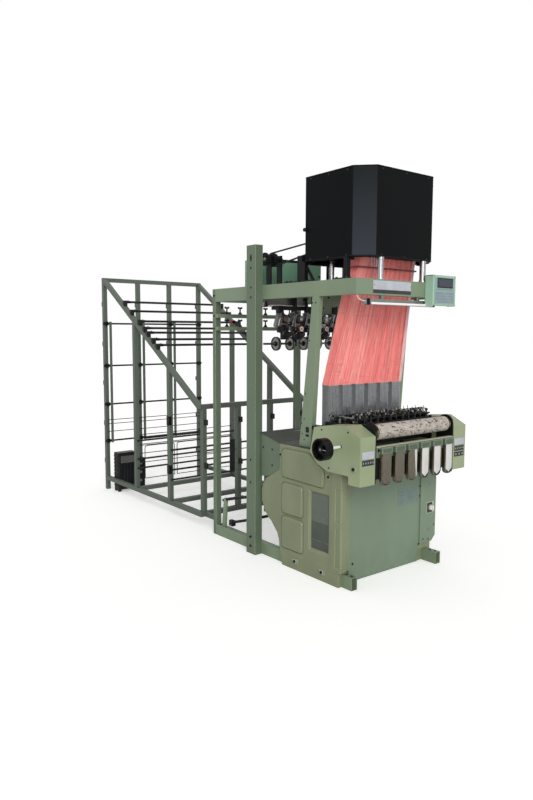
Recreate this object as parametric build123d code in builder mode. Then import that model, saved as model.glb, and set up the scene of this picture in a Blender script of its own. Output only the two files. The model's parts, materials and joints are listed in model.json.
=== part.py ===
"""Jacquard webbing loom with its yarn creel, built as separate named parts.

All sizes are in millimetres. X runs to the right as seen from the working side,
Y runs back towards the creel and Z runs up. The origin is the middle of the
underside of the machine bed, on the floor.
"""
import os
from math import atan, cos, hypot, sqrt

from build123d import *

os.makedirs("parts", exist_ok=True)

LOW_CORNER = (Align.MIN, Align.MIN, Align.MIN)
SIDES = (-1, 1)

# Weaving heads: the pitch sets everything that repeats once per tape.
HEAD_COUNT = 6
HEAD_PITCH = 125.0
HEAD_X = [HEAD_PITCH * (i - (HEAD_COUNT - 1) / 2) for i in range(HEAD_COUNT)]

# Running fits and small seats.
SHAFT_CLEARANCE = 0.05
BELT_CLEARANCE = 0.3

# Floor rails and upright frame: the width follows from the heads.
HEAD_END_ROOM = 74.5
RAIL_OUTER = HEAD_COUNT * HEAD_PITCH / 2 + HEAD_END_ROOM
RAIL_WIDTH = 50.0
RAIL_INNER = RAIL_OUTER - RAIL_WIDTH
RAIL_HEIGHT = 85.0
RAIL_WALL = 4.0
FRAME_FRONT = -400.0
BEAM_FRONT = FRAME_FRONT + RAIL_WIDTH
REAR_POST_FRONT = 1154.0
REAR_POST_DEPTH = 40.0
REAR_POST_BACK = REAR_POST_FRONT + REAR_POST_DEPTH
TUBE_WALL = 3.0
BEAM_TOP = 1992.0
BEAM_DEPTH = 101.0
BEAM_BOTTOM = BEAM_TOP - BEAM_DEPTH
MAIN_POST_WIDTH = 65.0
MAIN_POST_OUTER = RAIL_OUTER + MAIN_POST_WIDTH
MAIN_POST_FRONT = 542.0
MAIN_POST_DEPTH = 107.0
MAIN_POST_RISE = 285.0
MAIN_POST_TOP = BEAM_TOP + MAIN_POST_RISE
CROSS_BAR_HEIGHT = 40.0
CROSS_BAR_BOTTOM = BEAM_TOP - CROSS_BAR_HEIGHT
HEAD_BAR_Y = (55.0, 105.0)
DRIVE_BAR_Y = (560.0, 650.0)
BOX_BAR_Y = (800.0, 850.0)

# Machine bed between the castings.
BED_FRONT = -275.0
BED_BACK = 290.0
BED_SADDLE_Z = 120.0
BED_TOP = 760.0
BED_WALL = 12.0
CHEEK_THICK = 55.0
CHEEK_INNER = RAIL_INNER - CHEEK_THICK
GEARCASE_SETBACK = 64.5
GEARCASE_HALF = RAIL_OUTER - GEARCASE_SETBACK
GEARCASE_FRONT = -60.0

# Top cover and the folded cover behind the bed.
COVER_Z = 872.0
COVER_SHEET = 6.0
COVER_TOP = COVER_Z + COVER_SHEET
COVER_FRONT = -67.0
COVER_BEND = 298.0
COVER_BACK = 520.0
COVER_BACK_Z = 923.0
REAR_TUCK_Z = 150.0
REAR_LIP = 12.0
REAR_SWEEP_Y = 480.0
REAR_BASE_Z = 330.0
REAR_FLOOR = 10.0
REAR_ROOF_Z = 855.0
SIDE_PLATE_THICK = 24.5
SIDE_PLATE_CORNER_Z = 600.0

# Front panel and, to its right, the flat box that carries the switch.
PANEL_SETBACK = 89.5
PANEL_HALF = RAIL_OUTER - PANEL_SETBACK
PANEL_SHEET = 6.0
PANEL_Z = (8.0, 735.0)
PANEL_SEAM = 2.0
PANEL_NOTCH = 27.0
PANEL_NOTCH_Z = 120.0

# Side castings.
CAST_THICK = 30.5
CAST_OUTER = RAIL_OUTER + CAST_THICK
CAST_FRONT = -280.0
CAST_FOOT_FRONT = -307.0
CAST_FOOT_BACK = 265.0
CAST_TOP_FRONT = (-68.0, COVER_Z)
CAST_TOP_STEP = (-141.0, 800.0)
CAST_NECK = (296.0, 685.0)
CAST_HOLLOW = ((298.0, 131.0), (325.0, 225.0), (385.0, 290.0))
CAST_BULGE_LOW = ((385.0, 290.0), (465.0, 352.0), (505.0, 465.0))
CAST_BULGE_HIGH = ((505.0, 465.0), (476.0, 568.0), (398.0, 626.0))
CHEEK_FRONT = -268.0
CHEEK_BACK = 260.0
PILLAR_INSET = 13.5
PILLAR_THICK = 48.0
PILLAR_INNER = RAIL_OUTER - PILLAR_INSET
PILLAR_OUTER = PILLAR_INNER + PILLAR_THICK
PILLAR_FRONT = -328.0
PILLAR_BACK = -235.0
PILLAR_Z = (98.0, 765.0)
PILLAR_RECESS_Y = (-318.0, -275.0)
PILLAR_RECESS_Z = ((126.0, 388.0), (431.0, 649.0))
PILLAR_RECESS_DEPTH = 5.0
PILLAR_CHAMFER = 12.0
PILLAR_CHAMFER_Z = ((135.0, 380.0), (440.0, 640.0))
FLANGE_GAP = 2.0
FLANGE_FRONT = -290.0
FLANGE_Z = (90.0, 745.0)
PAD_RISE = 10.0
PAD_SLOPE = 8.0
PAD_RADIUS = 26.0
UPPER_PAD = ((268.0, 843.0), (-13.0, 844.0), (-163.0, 761.0), (-161.0, 632.0), (268.0, 640.0))
MIDDLE_PAD = ((268.0, 602.0), (46.0, 602.0), (46.0, 382.0), (268.0, 382.0))
LOWER_PAD = ((268.0, 362.0), (43.0, 362.0), (43.0, 132.0), (268.0, 132.0))
FOOT_PAD_Y = ((-180.0, -126.0), (93.0, 148.0))
FOOT_PAD_Z = (47.0, 80.0)
FOOT_PAD_RISE = 6.0
WINDOW_Y = (-214.0, -13.0)
WINDOW_Z = (182.0, 600.0)
WINDOW_DEPTH = 18.0
WINDOW_SLOPE = 20.0
BOSS_RISE = 8.0
BOSS_SIDES = 24
REAR_BOSS = (282.0, 797.0, 16.0)
FRONT_BOSS = (-210.0, 719.0, 20.0)

# Head housings in front of and above the castings.
HOUSING_REACH_IN = 58.5
HOUSING_REACH_OUT = 73.5
HOUSING_INNER = RAIL_OUTER - HOUSING_REACH_IN
HOUSING_OUTER = RAIL_OUTER + HOUSING_REACH_OUT
HOUSING_WALL = 8.0
HOUSING_FRONT = -528.0
HOUSING_FOOT_Z = 712.0
HOUSING_STEP_Y = -426.0
HOUSING_BOSS = (-476.0, 817.0, 20.0)
HOUSING_OUTLINE = [
    (HOUSING_FRONT, HOUSING_FOOT_Z),
    (HOUSING_FRONT, 1017.0),
    (-401.0, 1078.0),
    (-220.0, 1061.0),
    (-106.0, 1039.0),
    CAST_TOP_FRONT,
    CAST_TOP_STEP,
    (PILLAR_BACK, PILLAR_Z[1]),
    (HOUSING_STEP_Y, PILLAR_Z[1]),
    (HOUSING_STEP_Y, HOUSING_FOOT_Z),
]

# Switch box beside the front panel and the rotary switch on it.
CABINET_INSET = 80.5
CABINET_X = (RAIL_OUTER - CABINET_INSET, HOUSING_OUTER)
CABINET_FRONT = -291.0
CABINET_BACK = -235.0
CABINET_Z = (130.0, 705.0)
CABINET_WALL = 8.0
CABINET_BEVEL = 40.0
SWITCH_OUTSET = 9.5
SWITCH_X = RAIL_OUTER + SWITCH_OUTSET
SWITCH_Z = 386.0
SWITCH_BOSS_RADIUS = 24.0
SWITCH_BOSS_DEPTH = 6.0
SWITCH_BORE = 10.0
KNOB_RADIUS = 17.0
KNOB_DEPTH = 12.0
KNOB_GAP = 0.5
KNOB_GRIP = 10.0
KNOB_GRIP_DEPTH = 14.0
KNOB_SHAFT_RADIUS = 5.0
KNOB_SHAFT_DEPTH = 8.0

# Hand wheel on the left housing.
WHEEL_Y = -356.0
WHEEL_Z = 942.0
WHEEL_RADIUS = 69.5
WHEEL_WIDTH = 54.0
WHEEL_STAND_OFF = 126.0
WHEEL_X = (-HOUSING_OUTER - WHEEL_STAND_OFF - WHEEL_WIDTH, -HOUSING_OUTER - WHEEL_STAND_OFF)
WHEEL_RIM = 11.0
WHEEL_DISH = 30.0
WHEEL_HUB_RADIUS = 22.0
WHEEL_HUB_SETBACK = 8.0
WHEEL_SHAFT_RADIUS = 9.0
WHEEL_BOSS_RADIUS = 22.0
WHEEL_BOSS_DEPTH = 35.0
WHEEL_BOSS_END = -HOUSING_OUTER + WHEEL_BOSS_DEPTH
WHEEL_SHAFT_TAIL = 18.0

# Take up roller, its brackets, the delivery bar and the tape chutes.
ROLLER_Y = -470.0
ROLLER_Z = 1032.0
ROLLER_RADIUS = 50.0
JOURNAL_RADIUS = 12.0
BRACKET_THICK = 12.0
BRACKET_INNER = HOUSING_INNER - BRACKET_THICK
ROLLER_END_GAP = 17.0
ROLLER_HALF = BRACKET_INNER - ROLLER_END_GAP
BRACKET_FRONT = -524.0
BRACKET_BACK = -390.0
BRACKET_FOOT_Z = 715.0
BRACKET_OUTLINE = [
    (BRACKET_FRONT, BRACKET_FOOT_Z),
    (BRACKET_FRONT, 1040.0),
    (-505.0, 1078.0),
    (-465.0, 1092.0),
    (-415.0, 1075.0),
    (BRACKET_BACK, 1020.0),
    (BRACKET_BACK, BRACKET_FOOT_Z),
]
DELIVERY_Y = (-530.0, -500.0)
DELIVERY_Z = (880.0, 945.0)
CLAMP_HALF = 45.0
CLAMP_DEPTH = 26.0
CLAMP_Z = (905.0, 943.0)
CHUTE_HALF = 43.0
CHUTE_DEPTH = 20.0
CHUTE_WALL = 2.5
CHUTE_TIP_Z = 702.0
CHUTE_TIP = ((1.0, 30.0), (0.85, 13.0), (0.4, 0.0))

# Weaving beam with heads, reeds and weft needle arms.
WEAVE_Y = (-330.0, -180.0)
WEAVE_Z = (925.0, 985.0)
HEAD_BLOCK_HALF = 48.0
HEAD_BLOCK_Y = (-330.0, -245.0)
HEAD_BLOCK_TOP = 1032.0
REED_HALF = 38.0
REED_Y = (-225.0, -205.0)
REED_TOP = 1088.0
REED_BAR = 10.0
NEEDLE_POST_HALF = 8.0
NEEDLE_POST_OFFSET = 56.0
NEEDLE_POST_Y = -195.0
NEEDLE_POST_TOP = 1110.0
NEEDLE_REACH = 120.0
NEEDLE_THICK = 8.0
NEEDLE_WIDTH = 14.0

# Jacquard head, carried above the side beams.
HEAD_LIFT = 141.0
HEAD_BOTTOM = BEAM_TOP + HEAD_LIFT
HEAD_HEIGHT = 561.0
HEAD_TOP = HEAD_BOTTOM + HEAD_HEIGHT
HEAD_INSET = 71.5
HEAD_HALF_X = RAIL_OUTER - HEAD_INSET
HEAD_HALF_Y = 330.0
HEAD_CENTRE_Y = -60.0
HEAD_CORNER = 110.0
HEAD_WALL = 8.0
HEAD_FLANGE = 45.0
HEAD_FLANGE_THICK = 12.0
MODULE_FRONT_ROOM = 120.0
MODULE_BACK_ROOM = 40.0
MODULE_Y = (HEAD_CENTRE_Y - HEAD_HALF_Y + MODULE_FRONT_ROOM, HEAD_CENTRE_Y - MODULE_BACK_ROOM)
MODULE_LIFT = 17.0
MODULE_ROOM = 294.0
MODULE_Z = (HEAD_BOTTOM + MODULE_LIFT, HEAD_TOP - MODULE_ROOM)
MODULE_ARM_BACK = 140.0
DRIVEN_LIFT = 110.0
DRIVEN_Z = HEAD_BOTTOM + DRIVEN_LIFT
MODULE_ARM_RISE = 57.0
MODULE_ARM_TOP = DRIVEN_Z + MODULE_ARM_RISE
COLUMN_X = 207.0
COLUMN_FRONT_Y = -370.0
COLUMN_RADIUS = 19.0
COLUMN_REAR_Y = 80.0
SLOT_INSET = 33.0
SLOT_WIDTH = 50.0
SLOT_X = (-HEAD_HALF_X + SLOT_INSET, -HEAD_HALF_X + SLOT_INSET + SLOT_WIDTH)
SLOT_LIFT = 32.0
SLOT_HEIGHT = 120.0
SLOT_Z = (HEAD_BOTTOM + SLOT_LIFT, HEAD_BOTTOM + SLOT_LIFT + SLOT_HEIGHT)

# Heddles and harness.
HEDDLE_HALF = 42.0
HEDDLE_Y = (-66.0, 0.0)
HEDDLE_TOP = 1300.0
NECK_RATIO = 0.6936
NECK_PITCH = HEAD_PITCH * NECK_RATIO
NECK_GAP = 6.7
NECK_HALF = (NECK_PITCH - NECK_GAP) / 2
NECK_ROOM = (20.0, 50.0)
NECK_Y = (MODULE_Y[0] + NECK_ROOM[0], MODULE_Y[1] - NECK_ROOM[1])

# Black brackets that carry the head on the side beams.
FOOT_EDGE = 4.5
POST_SETBACK = 10.5
POST_THICK = 33.0
POST_X = (RAIL_INNER - POST_SETBACK - POST_THICK, RAIL_INNER - POST_SETBACK)
POST_FOOT_X = (POST_X[0], RAIL_OUTER - FOOT_EDGE)
POST_FOOT_THICK = 8.0
FRONT_POST_Y = (-250.0, -221.0)
FRONT_FOOT_Y = (-300.0, -180.0)
HEAD_EDGE_Y = HEAD_CENTRE_Y + HEAD_HALF_Y - HEAD_CORNER + HEAD_HALF_X - POST_X[0]
REAR_POST_REACH = (26.0, 49.0)
REAR_POST_Y = (HEAD_EDGE_Y - REAR_POST_REACH[0], HEAD_EDGE_Y + REAR_POST_REACH[1])
REAR_FOOT_REACH = (157.0, 131.0)
REAR_FOOT_Y = (HEAD_EDGE_Y - REAR_FOOT_REACH[0], HEAD_EDGE_Y + REAR_FOOT_REACH[1])
REAR_HORN_GAP = 4.0
REAR_HORN_Y = (HEAD_EDGE_Y + REAR_HORN_GAP, REAR_POST_Y[1])
REAR_HORN_RISE = 44.0
ARM_REACH = 36.0
ARM_THICK = 12.0
TIE_REACH = (2.0, 18.0)
TIE_Y = (HEAD_EDGE_Y - TIE_REACH[0], HEAD_EDGE_Y + TIE_REACH[1])
TIE_THICK = 16.0
BRACE_THICK = 10.0
BRACE_TOP = (80.0, 105.0)
BRACE_SPREAD = (76.0, 51.0)
BRACE_FOOT_Y = (REAR_POST_Y[0] - BRACE_SPREAD[0], REAR_POST_Y[0] - BRACE_SPREAD[1])

# Jacquard drive: shaft, pulley, belt and the bracket that holds them.
DRIVE_Y = 587.0
DRIVE_LIFT = 191.0
DRIVE_Z = BEAM_TOP + DRIVE_LIFT
DRIVE_SHAFT_RADIUS = 10.0
PULLEY_RADIUS = 48.0
BELT_WIDTH = 28.0
BELT_SIDE_GAP = 11.0
BELT_X = (SLOT_X[0] + BELT_SIDE_GAP, SLOT_X[0] + BELT_SIDE_GAP + BELT_WIDTH)
PULLEY_LIP = 2.5
PULLEY_X = (BELT_X[0] - PULLEY_LIP, BELT_X[1] + PULLEY_LIP)
BELT_THICK = 4.0
DRIVEN_Y = 100.0
DRIVEN_RADIUS = 31.0
DRIVE_PLATE_THICK = 12.0
DRIVE_PLATE_GAPS = (13.5, 39.5, 543.5)
DRIVE_PLATES = (
    (PULLEY_X[0] - DRIVE_PLATE_GAPS[0] - DRIVE_PLATE_THICK, PULLEY_X[0] - DRIVE_PLATE_GAPS[0]),
    (PULLEY_X[1] + DRIVE_PLATE_GAPS[1], PULLEY_X[1] + DRIVE_PLATE_GAPS[1] + DRIVE_PLATE_THICK),
    (PULLEY_X[1] + DRIVE_PLATE_GAPS[2], PULLEY_X[1] + DRIVE_PLATE_GAPS[2] + DRIVE_PLATE_THICK),
)
DRIVE_PLATE_HALF = 26.0
DRIVE_PLATE_RISE = 224.0
DRIVE_BASE_THICK = 6.0
DRIVE_BASE_EDGE = 15.0
OUTER_DISC_GAP = 26.0
OUTER_DISC_THICK = 12.0
OUTER_DISC_BACK = DRIVE_PLATES[0][0] - OUTER_DISC_GAP
OUTER_DISC_X = (OUTER_DISC_BACK - OUTER_DISC_THICK, OUTER_DISC_BACK)

# Electrical box on the rear cross bars.
EBOX_INSET = 141.5
EBOX_HALF = RAIL_OUTER - EBOX_INSET
EBOX_Y = (750.0, 950.0)
EBOX_HEIGHT = 216.0
EBOX_TOP = BEAM_TOP + EBOX_HEIGHT

# Weft feeders.
FEED_Y = 600.0
FEED_DROP = 384.0
FEED_Z = CROSS_BAR_BOTTOM - FEED_DROP
FEED_END_ROOM = 54.5
FEED_HALF = RAIL_OUTER - FEED_END_ROOM
FEED_RADIUS = 8.0
DISC_COUNT = 5
DISC_PITCH = 138.0
DISC_X = [DISC_PITCH * (i - (DISC_COUNT - 1) / 2) for i in range(DISC_COUNT)]
DISC_RADIUS = 52.0
DISC_THICK = 10.0
DISC_SIDES = 30
HANGER_X = 100.0
HANGER_THICK = 12.0
HANGER_Y = (575.0, 625.0)
HANGER_END = 17.0
HANGER_BOTTOM = FEED_Z - HANGER_END
FEEDER_BAR_HALF = 302.0
FEEDER_BAR_DROP = (132.0, 102.0)
FEEDER_BAR_Z = (CROSS_BAR_BOTTOM - FEEDER_BAR_DROP[0], CROSS_BAR_BOTTOM - FEEDER_BAR_DROP[1])
FEEDER_X = (-277.0, 0.0, 277.0)
FEEDER_WIDTH = 46.0
FEEDER_SHAPE = (
    (0.0, 102.0),
    (30.0, 102.0),
    (45.0, 176.0),
    (90.0, 312.0),
    (85.0, 325.0),
    (60.0, 325.0),
    (0.0, 152.0),
)

# Lamps and control box.
LAMP_ENDS = (96.5, 151.5)
LAMP_X = (-RAIL_OUTER + LAMP_ENDS[0], RAIL_OUTER - LAMP_ENDS[1])
LAMP_Y = (-395.0, -357.0)
LAMP_DROP = (61.0, 23.0)
LAMP_Z = (BEAM_BOTTOM - LAMP_DROP[0], BEAM_BOTTOM - LAMP_DROP[1])
LAMP_TABS = (-200.0, 140.0)
LAMP_TAB_HALF = 8.0
LAMP_TAB_Y = (-390.0, -362.0)
REAR_LAMP_LENGTH = 422.0
REAR_LAMP_START = 81.5
REAR_LAMP_X = (-RAIL_OUTER + REAR_LAMP_START, -RAIL_OUTER + REAR_LAMP_START + REAR_LAMP_LENGTH)
REAR_LAMP_Y = (628.0, 650.0)
REAR_LAMP_DROP = (48.0, 13.0)
REAR_LAMP_Z = (BEAM_BOTTOM - REAR_LAMP_DROP[0], BEAM_BOTTOM - REAR_LAMP_DROP[1])
REAR_LAMP_TABS = (-320.0, -20.0)
CBOX_ENDS = (248.5, 13.5)
CBOX_X = (RAIL_OUTER - CBOX_ENDS[0], RAIL_OUTER - CBOX_ENDS[1])
CBOX_DEPTH = 70.0
CBOX_Y = (FRAME_FRONT - CBOX_DEPTH, FRAME_FRONT)
CBOX_REACH = (154.0, 44.0)
CBOX_Z = (BEAM_TOP - CBOX_REACH[0], BEAM_TOP + CBOX_REACH[1])
CBOX_EDGE = 5.0

# Yarn guide bars on the rear posts.
GUIDE_DEPTH = 30.0
GUIDE_HEIGHT = 30.0
GUIDE_DROPS = (225.0, 125.0)
GUIDE_Z = [(BEAM_BOTTOM - drop, BEAM_BOTTOM - drop + GUIDE_HEIGHT) for drop in GUIDE_DROPS]

# Struts from the top cover to the side beams.
STRUT_DEPTH = 40.0
STRUT_X = (RAIL_OUTER - STRUT_DEPTH, RAIL_OUTER)
STRUT_FOOT_Y = (10.0, 125.0)
STRUT_HEAD_Y = (-57.0, 5.0)
STRUT_WALL = 6.0

# Creel.
CREEL_LEFT_ROOM = 18.0
CREEL_RIGHT_ROOM = 258.0
CREEL_X = (-RAIL_OUTER - CREEL_LEFT_ROOM, RAIL_OUTER + CREEL_RIGHT_ROOM)
CREEL_BAR = 40.0
CREEL_NEAR_Y = 1357.0
CREEL_FAR_Y = 3182.0
CREEL_TOP = 2197.0
CREEL_BASE_Z = (100.0, 140.0)
CREEL_NEAR_TOP = 1053.0
CREEL_POSTS = 4
CREEL_PITCH = (CREEL_X[1] - CREEL_X[0] - CREEL_BAR) / (CREEL_POSTS - 1)
NEAR_POST_SHIFT = (22.5, 377.5, 732.5, 1080.5)
COMPANION_GAP = 8.0
COMPANION_SIZE = 20.0
COMPANION_Z = (497.0, 1753.0)
THICK_BAR_X = (-55.0, 658.0)
THICK_BAR_Z = (502.0, 528.0)
THICK_BAR_DEPTH = 20.0
UPRIGHT_Y = (1873.0, 2520.0)
DIAGONAL_REF = (2082.0, 1465.0)
DIAGONAL_SLOPE = 0.636
ROD_RADIUS = 9.0
ROD_SIDES = 12
ROD_END = 15.0
ROD_CLAMP_LIFT = 56.0
ROD_CLAMP_HALF = 14.0
DIAGONAL_ROD_Y = (2100.0, 2180.0, 2276.0, 2342.0, 2443.0, 2598.0, 2741.0)
FAR_ROD_Z = (515.0, 900.0, 1300.0, 1733.0)
UPRIGHT_ROD_Z = (330.0, 420.0, 600.0)
HOOK_SIZE = (14.0, 40.0, 46.0)
FAR_HOOK_Z = (298.0, 697.0, 1121.0, 1524.0, 1933.0)
NEAR_HOOK_Z = (540.0, 905.0)
GUSSET_X = (193.0, 329.0)
GUSSET_Z = (315.0, 635.0)
GUSSET_SHEET = 5.0
LINK_INSET = 24.0
LINK_WIDTH = 24.0
LINK_X = (RAIL_OUTER - LINK_INSET - LINK_WIDTH, RAIL_OUTER - LINK_INSET)
STOP_BOX_SIZE = (200.0, 100.0, 385.0)
STOP_BOX_PLACE = (CREEL_X[0] + CREEL_BAR, 2990.0, 20.0)
STOP_FOOT = 30.0


def slab(x_limits, y_limits, z_limits, mode=Mode.ADD):
    """Add a rectangular solid between its limits to the part being built."""
    x0, x1 = sorted(x_limits)
    y0, y1 = sorted(y_limits)
    z0, z1 = sorted(z_limits)
    with Locations((x0, y0, z0)):
        Box(x1 - x0, y1 - y0, z1 - z0, align=LOW_CORNER, mode=mode)


def side_slab(side, x_limits, y_limits, z_limits, mode=Mode.ADD):
    """Add a rectangular solid given by its distances from the middle plane."""
    slab([side * x for x in x_limits], y_limits, z_limits, mode)


def profile(x_limits, points, mode=Mode.ADD):
    """Extrude an outline given in Y and Z between two X places."""
    x0, x1 = sorted(x_limits)
    with BuildSketch(Plane.YZ.offset(x0)) as outline:
        with BuildLine():
            Polyline(*points, close=True)
        make_face()
    extrude(outline.sketch, amount=x1 - x0, mode=mode)


def side_profile(side, x_limits, points, mode=Mode.ADD):
    """Extrude a Y and Z outline between two distances from the middle plane."""
    profile([side * x for x in x_limits], points, mode)


def x_rod(x_limits, y, z, radius, mode=Mode.ADD):
    """Add a round bar that runs along X."""
    x0, x1 = sorted(x_limits)
    with Locations(((x0 + x1) / 2, y, z)):
        Cylinder(radius, x1 - x0, rotation=(0, 90, 0), mode=mode)


def y_rod(x, y_limits, z, radius, mode=Mode.ADD):
    """Add a round bar that runs along Y."""
    y0, y1 = sorted(y_limits)
    with Locations((x, (y0 + y1) / 2, z)):
        Cylinder(radius, y1 - y0, rotation=(90, 0, 0), mode=mode)


def z_rod(x, y, z_limits, radius, mode=Mode.ADD):
    """Add a round bar that runs along Z."""
    z0, z1 = sorted(z_limits)
    with Locations((x, y, (z0 + z1) / 2)):
        Cylinder(radius, z1 - z0, mode=mode)


def x_bar(x_limits, y, z, radius, sides):
    """Add a thin bar with many flat sides that runs along X."""
    x0, x1 = sorted(x_limits)
    with BuildSketch(Plane.YZ.offset(x0)) as section:
        with Locations((y, z)):
            RegularPolygon(radius, sides)
    extrude(section.sketch, amount=x1 - x0)


def toward(point, goal):
    """Return the direction of length one from a point to another."""
    length = hypot(goal[0] - point[0], goal[1] - point[1])
    return (goal[0] - point[0]) / length, (goal[1] - point[1]) / length


def corner_frames(points):
    """Return, for each corner, its place, both edge directions and the sine between them."""
    frames = []
    for i, point in enumerate(points):
        before = toward(point, points[i - 1])
        after = toward(point, points[(i + 1) % len(points)])
        frames.append((point, before, after, abs(before[0] * after[1] - before[1] * after[0])))
    return frames


def inset(points, amount):
    """Return a convex outline moved in by the same amount on every side."""
    moved = []
    for (y, z), before, after, sine in corner_frames(points):
        step = amount / sine
        moved.append((y + step * (before[0] + after[0]), z + step * (before[1] + after[1])))
    return moved


def eased(points, radius):
    """Return a convex outline with three points round each corner instead of one."""
    outline = []
    for (y, z), before, after, sine in corner_frames(points):
        inward = (before[0] + after[0], before[1] + after[1])
        width = hypot(*inward)
        cosine = before[0] * after[0] + before[1] * after[1]
        reach = radius * (1 + cosine) / sine
        depth = radius * width / sine - radius
        outline.append((y + reach * before[0], z + reach * before[1]))
        outline.append((y + depth * inward[0] / width, z + depth * inward[1] / width))
        outline.append((y + reach * after[0], z + reach * after[1]))
    return outline


def raised_pad(side, low_x, rise, slope, radius, points):
    """Add a pad with eased corners and sloped edges on the outside of a casting."""
    with BuildSketch(Plane.YZ.offset(side * low_x)) as base:
        with BuildLine():
            Polyline(*eased(points, radius), close=True)
        make_face()
    with BuildSketch(Plane.YZ.offset(side * (low_x + rise))) as crown:
        with BuildLine():
            Polyline(*eased(inset(points, slope), radius - slope), close=True)
        make_face()
    loft([base.sketch.faces()[0], crown.sketch.faces()[0]], ruled=True)


def box_points(y_limits, z_limits):
    """Return the corners of a rectangle given by its limits in Y and Z."""
    return [
        (y_limits[1], z_limits[1]), (y_limits[0], z_limits[1]),
        (y_limits[0], z_limits[0]), (y_limits[1], z_limits[0]),
    ]


def sloped_recess(side, outer_x, depth, slope, y_limits, z_limits):
    """Cut a recess whose walls slope in towards its floor."""
    corners = box_points(y_limits, z_limits)
    with BuildSketch(Plane.YZ.offset(side * outer_x)) as mouth:
        with BuildLine():
            Polyline(*corners, close=True)
        make_face()
    with BuildSketch(Plane.YZ.offset(side * (outer_x - depth))) as floor:
        with BuildLine():
            Polyline(*inset(corners, slope), close=True)
        make_face()
    loft([mouth.sketch.faces()[0], floor.sketch.faces()[0]], ruled=True, mode=Mode.SUBTRACT)


def save(name, node):
    """Name a finished part and write it as one STEP file."""
    node.part.label = name
    export_step(node.part, f"parts/{name}.step")


def shrunk(limits, wall):
    """Return a pair of limits moved in by the wall at both ends."""
    return limits[0] + wall, limits[1] - wall


# Floor rails: open square tubes that run from the feet back to the rear posts.
with BuildPart() as floor_rails:
    for side in SIDES:
        rail_x = (RAIL_INNER, RAIL_OUTER)
        rail_y = (FRAME_FRONT, REAR_POST_FRONT)
        side_slab(side, rail_x, rail_y, (0, RAIL_HEIGHT))
        side_slab(
            side, shrunk(rail_x, RAIL_WALL), rail_y,
            (RAIL_WALL, RAIL_HEIGHT - RAIL_WALL), Mode.SUBTRACT,
        )
save("floor_rails", floor_rails)

# Posts: the two main posts beside the rails and the two slim rear posts.
with BuildPart() as posts:
    for side in SIDES:
        post_x = (RAIL_OUTER, MAIN_POST_OUTER)
        post_y = (MAIN_POST_FRONT, MAIN_POST_FRONT + MAIN_POST_DEPTH)
        side_slab(side, post_x, post_y, (0, MAIN_POST_TOP))
        side_slab(
            side, shrunk(post_x, RAIL_WALL), shrunk(post_y, RAIL_WALL),
            (0, MAIN_POST_TOP - RAIL_WALL), Mode.SUBTRACT,
        )
        rear_x = (RAIL_INNER, RAIL_OUTER)
        rear_y = (REAR_POST_FRONT, REAR_POST_BACK)
        side_slab(side, rear_x, rear_y, (0, BEAM_TOP))
        side_slab(
            side, shrunk(rear_x, TUBE_WALL), shrunk(rear_y, TUBE_WALL),
            (0, BEAM_TOP - TUBE_WALL), Mode.SUBTRACT,
        )
save("posts", posts)

# Side beams from the front cross beam back to the rear posts.
with BuildPart() as side_beams:
    for side in SIDES:
        beam_y = (BEAM_FRONT, REAR_POST_FRONT)
        side_slab(side, (RAIL_INNER, RAIL_OUTER), beam_y, (BEAM_BOTTOM, BEAM_TOP))
        side_slab(
            side, shrunk((RAIL_INNER, RAIL_OUTER), TUBE_WALL), beam_y,
            shrunk((BEAM_BOTTOM, BEAM_TOP), TUBE_WALL), Mode.SUBTRACT,
        )
save("side_beams", side_beams)

with BuildPart() as front_cross_beam:
    slab((-RAIL_OUTER, RAIL_OUTER), (FRAME_FRONT, BEAM_FRONT), (BEAM_BOTTOM, BEAM_TOP))
save("front_cross_beam", front_cross_beam)

# Cross bars between the side beams: under the head, the drive and the box.
with BuildPart() as rear_cross_bars:
    for bar_y in (HEAD_BAR_Y, DRIVE_BAR_Y, BOX_BAR_Y):
        slab((-RAIL_INNER, RAIL_INNER), bar_y, (CROSS_BAR_BOTTOM, BEAM_TOP))
    slab(
        (-RAIL_INNER, RAIL_INNER), (REAR_POST_FRONT, REAR_POST_BACK), (BEAM_BOTTOM, BEAM_TOP),
    )
save("rear_cross_bars", rear_cross_bars)

# Machine bed: an open tray between the castings, stepped up into a gear case.
with BuildPart() as machine_bed:
    slab((-CHEEK_INNER, CHEEK_INNER), (BED_FRONT, BED_BACK), (0, BED_SADDLE_Z))
    slab((-RAIL_OUTER, RAIL_OUTER), (BED_FRONT, BED_BACK), (BED_SADDLE_Z, BED_TOP))
    slab(
        (-GEARCASE_HALF, GEARCASE_HALF), (GEARCASE_FRONT, BED_BACK), (BED_TOP, COVER_Z),
    )
    inner_half = CHEEK_INNER - BED_WALL
    slab(
        (-inner_half, inner_half), (BED_FRONT + BED_WALL, BED_BACK - BED_WALL),
        (BED_WALL, BED_TOP - BED_WALL), Mode.SUBTRACT,
    )
    slab(
        (-inner_half, inner_half), (GEARCASE_FRONT + BED_WALL, BED_BACK - BED_WALL),
        (BED_TOP - BED_WALL, COVER_Z), Mode.SUBTRACT,
    )
save("machine_bed", machine_bed)

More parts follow.
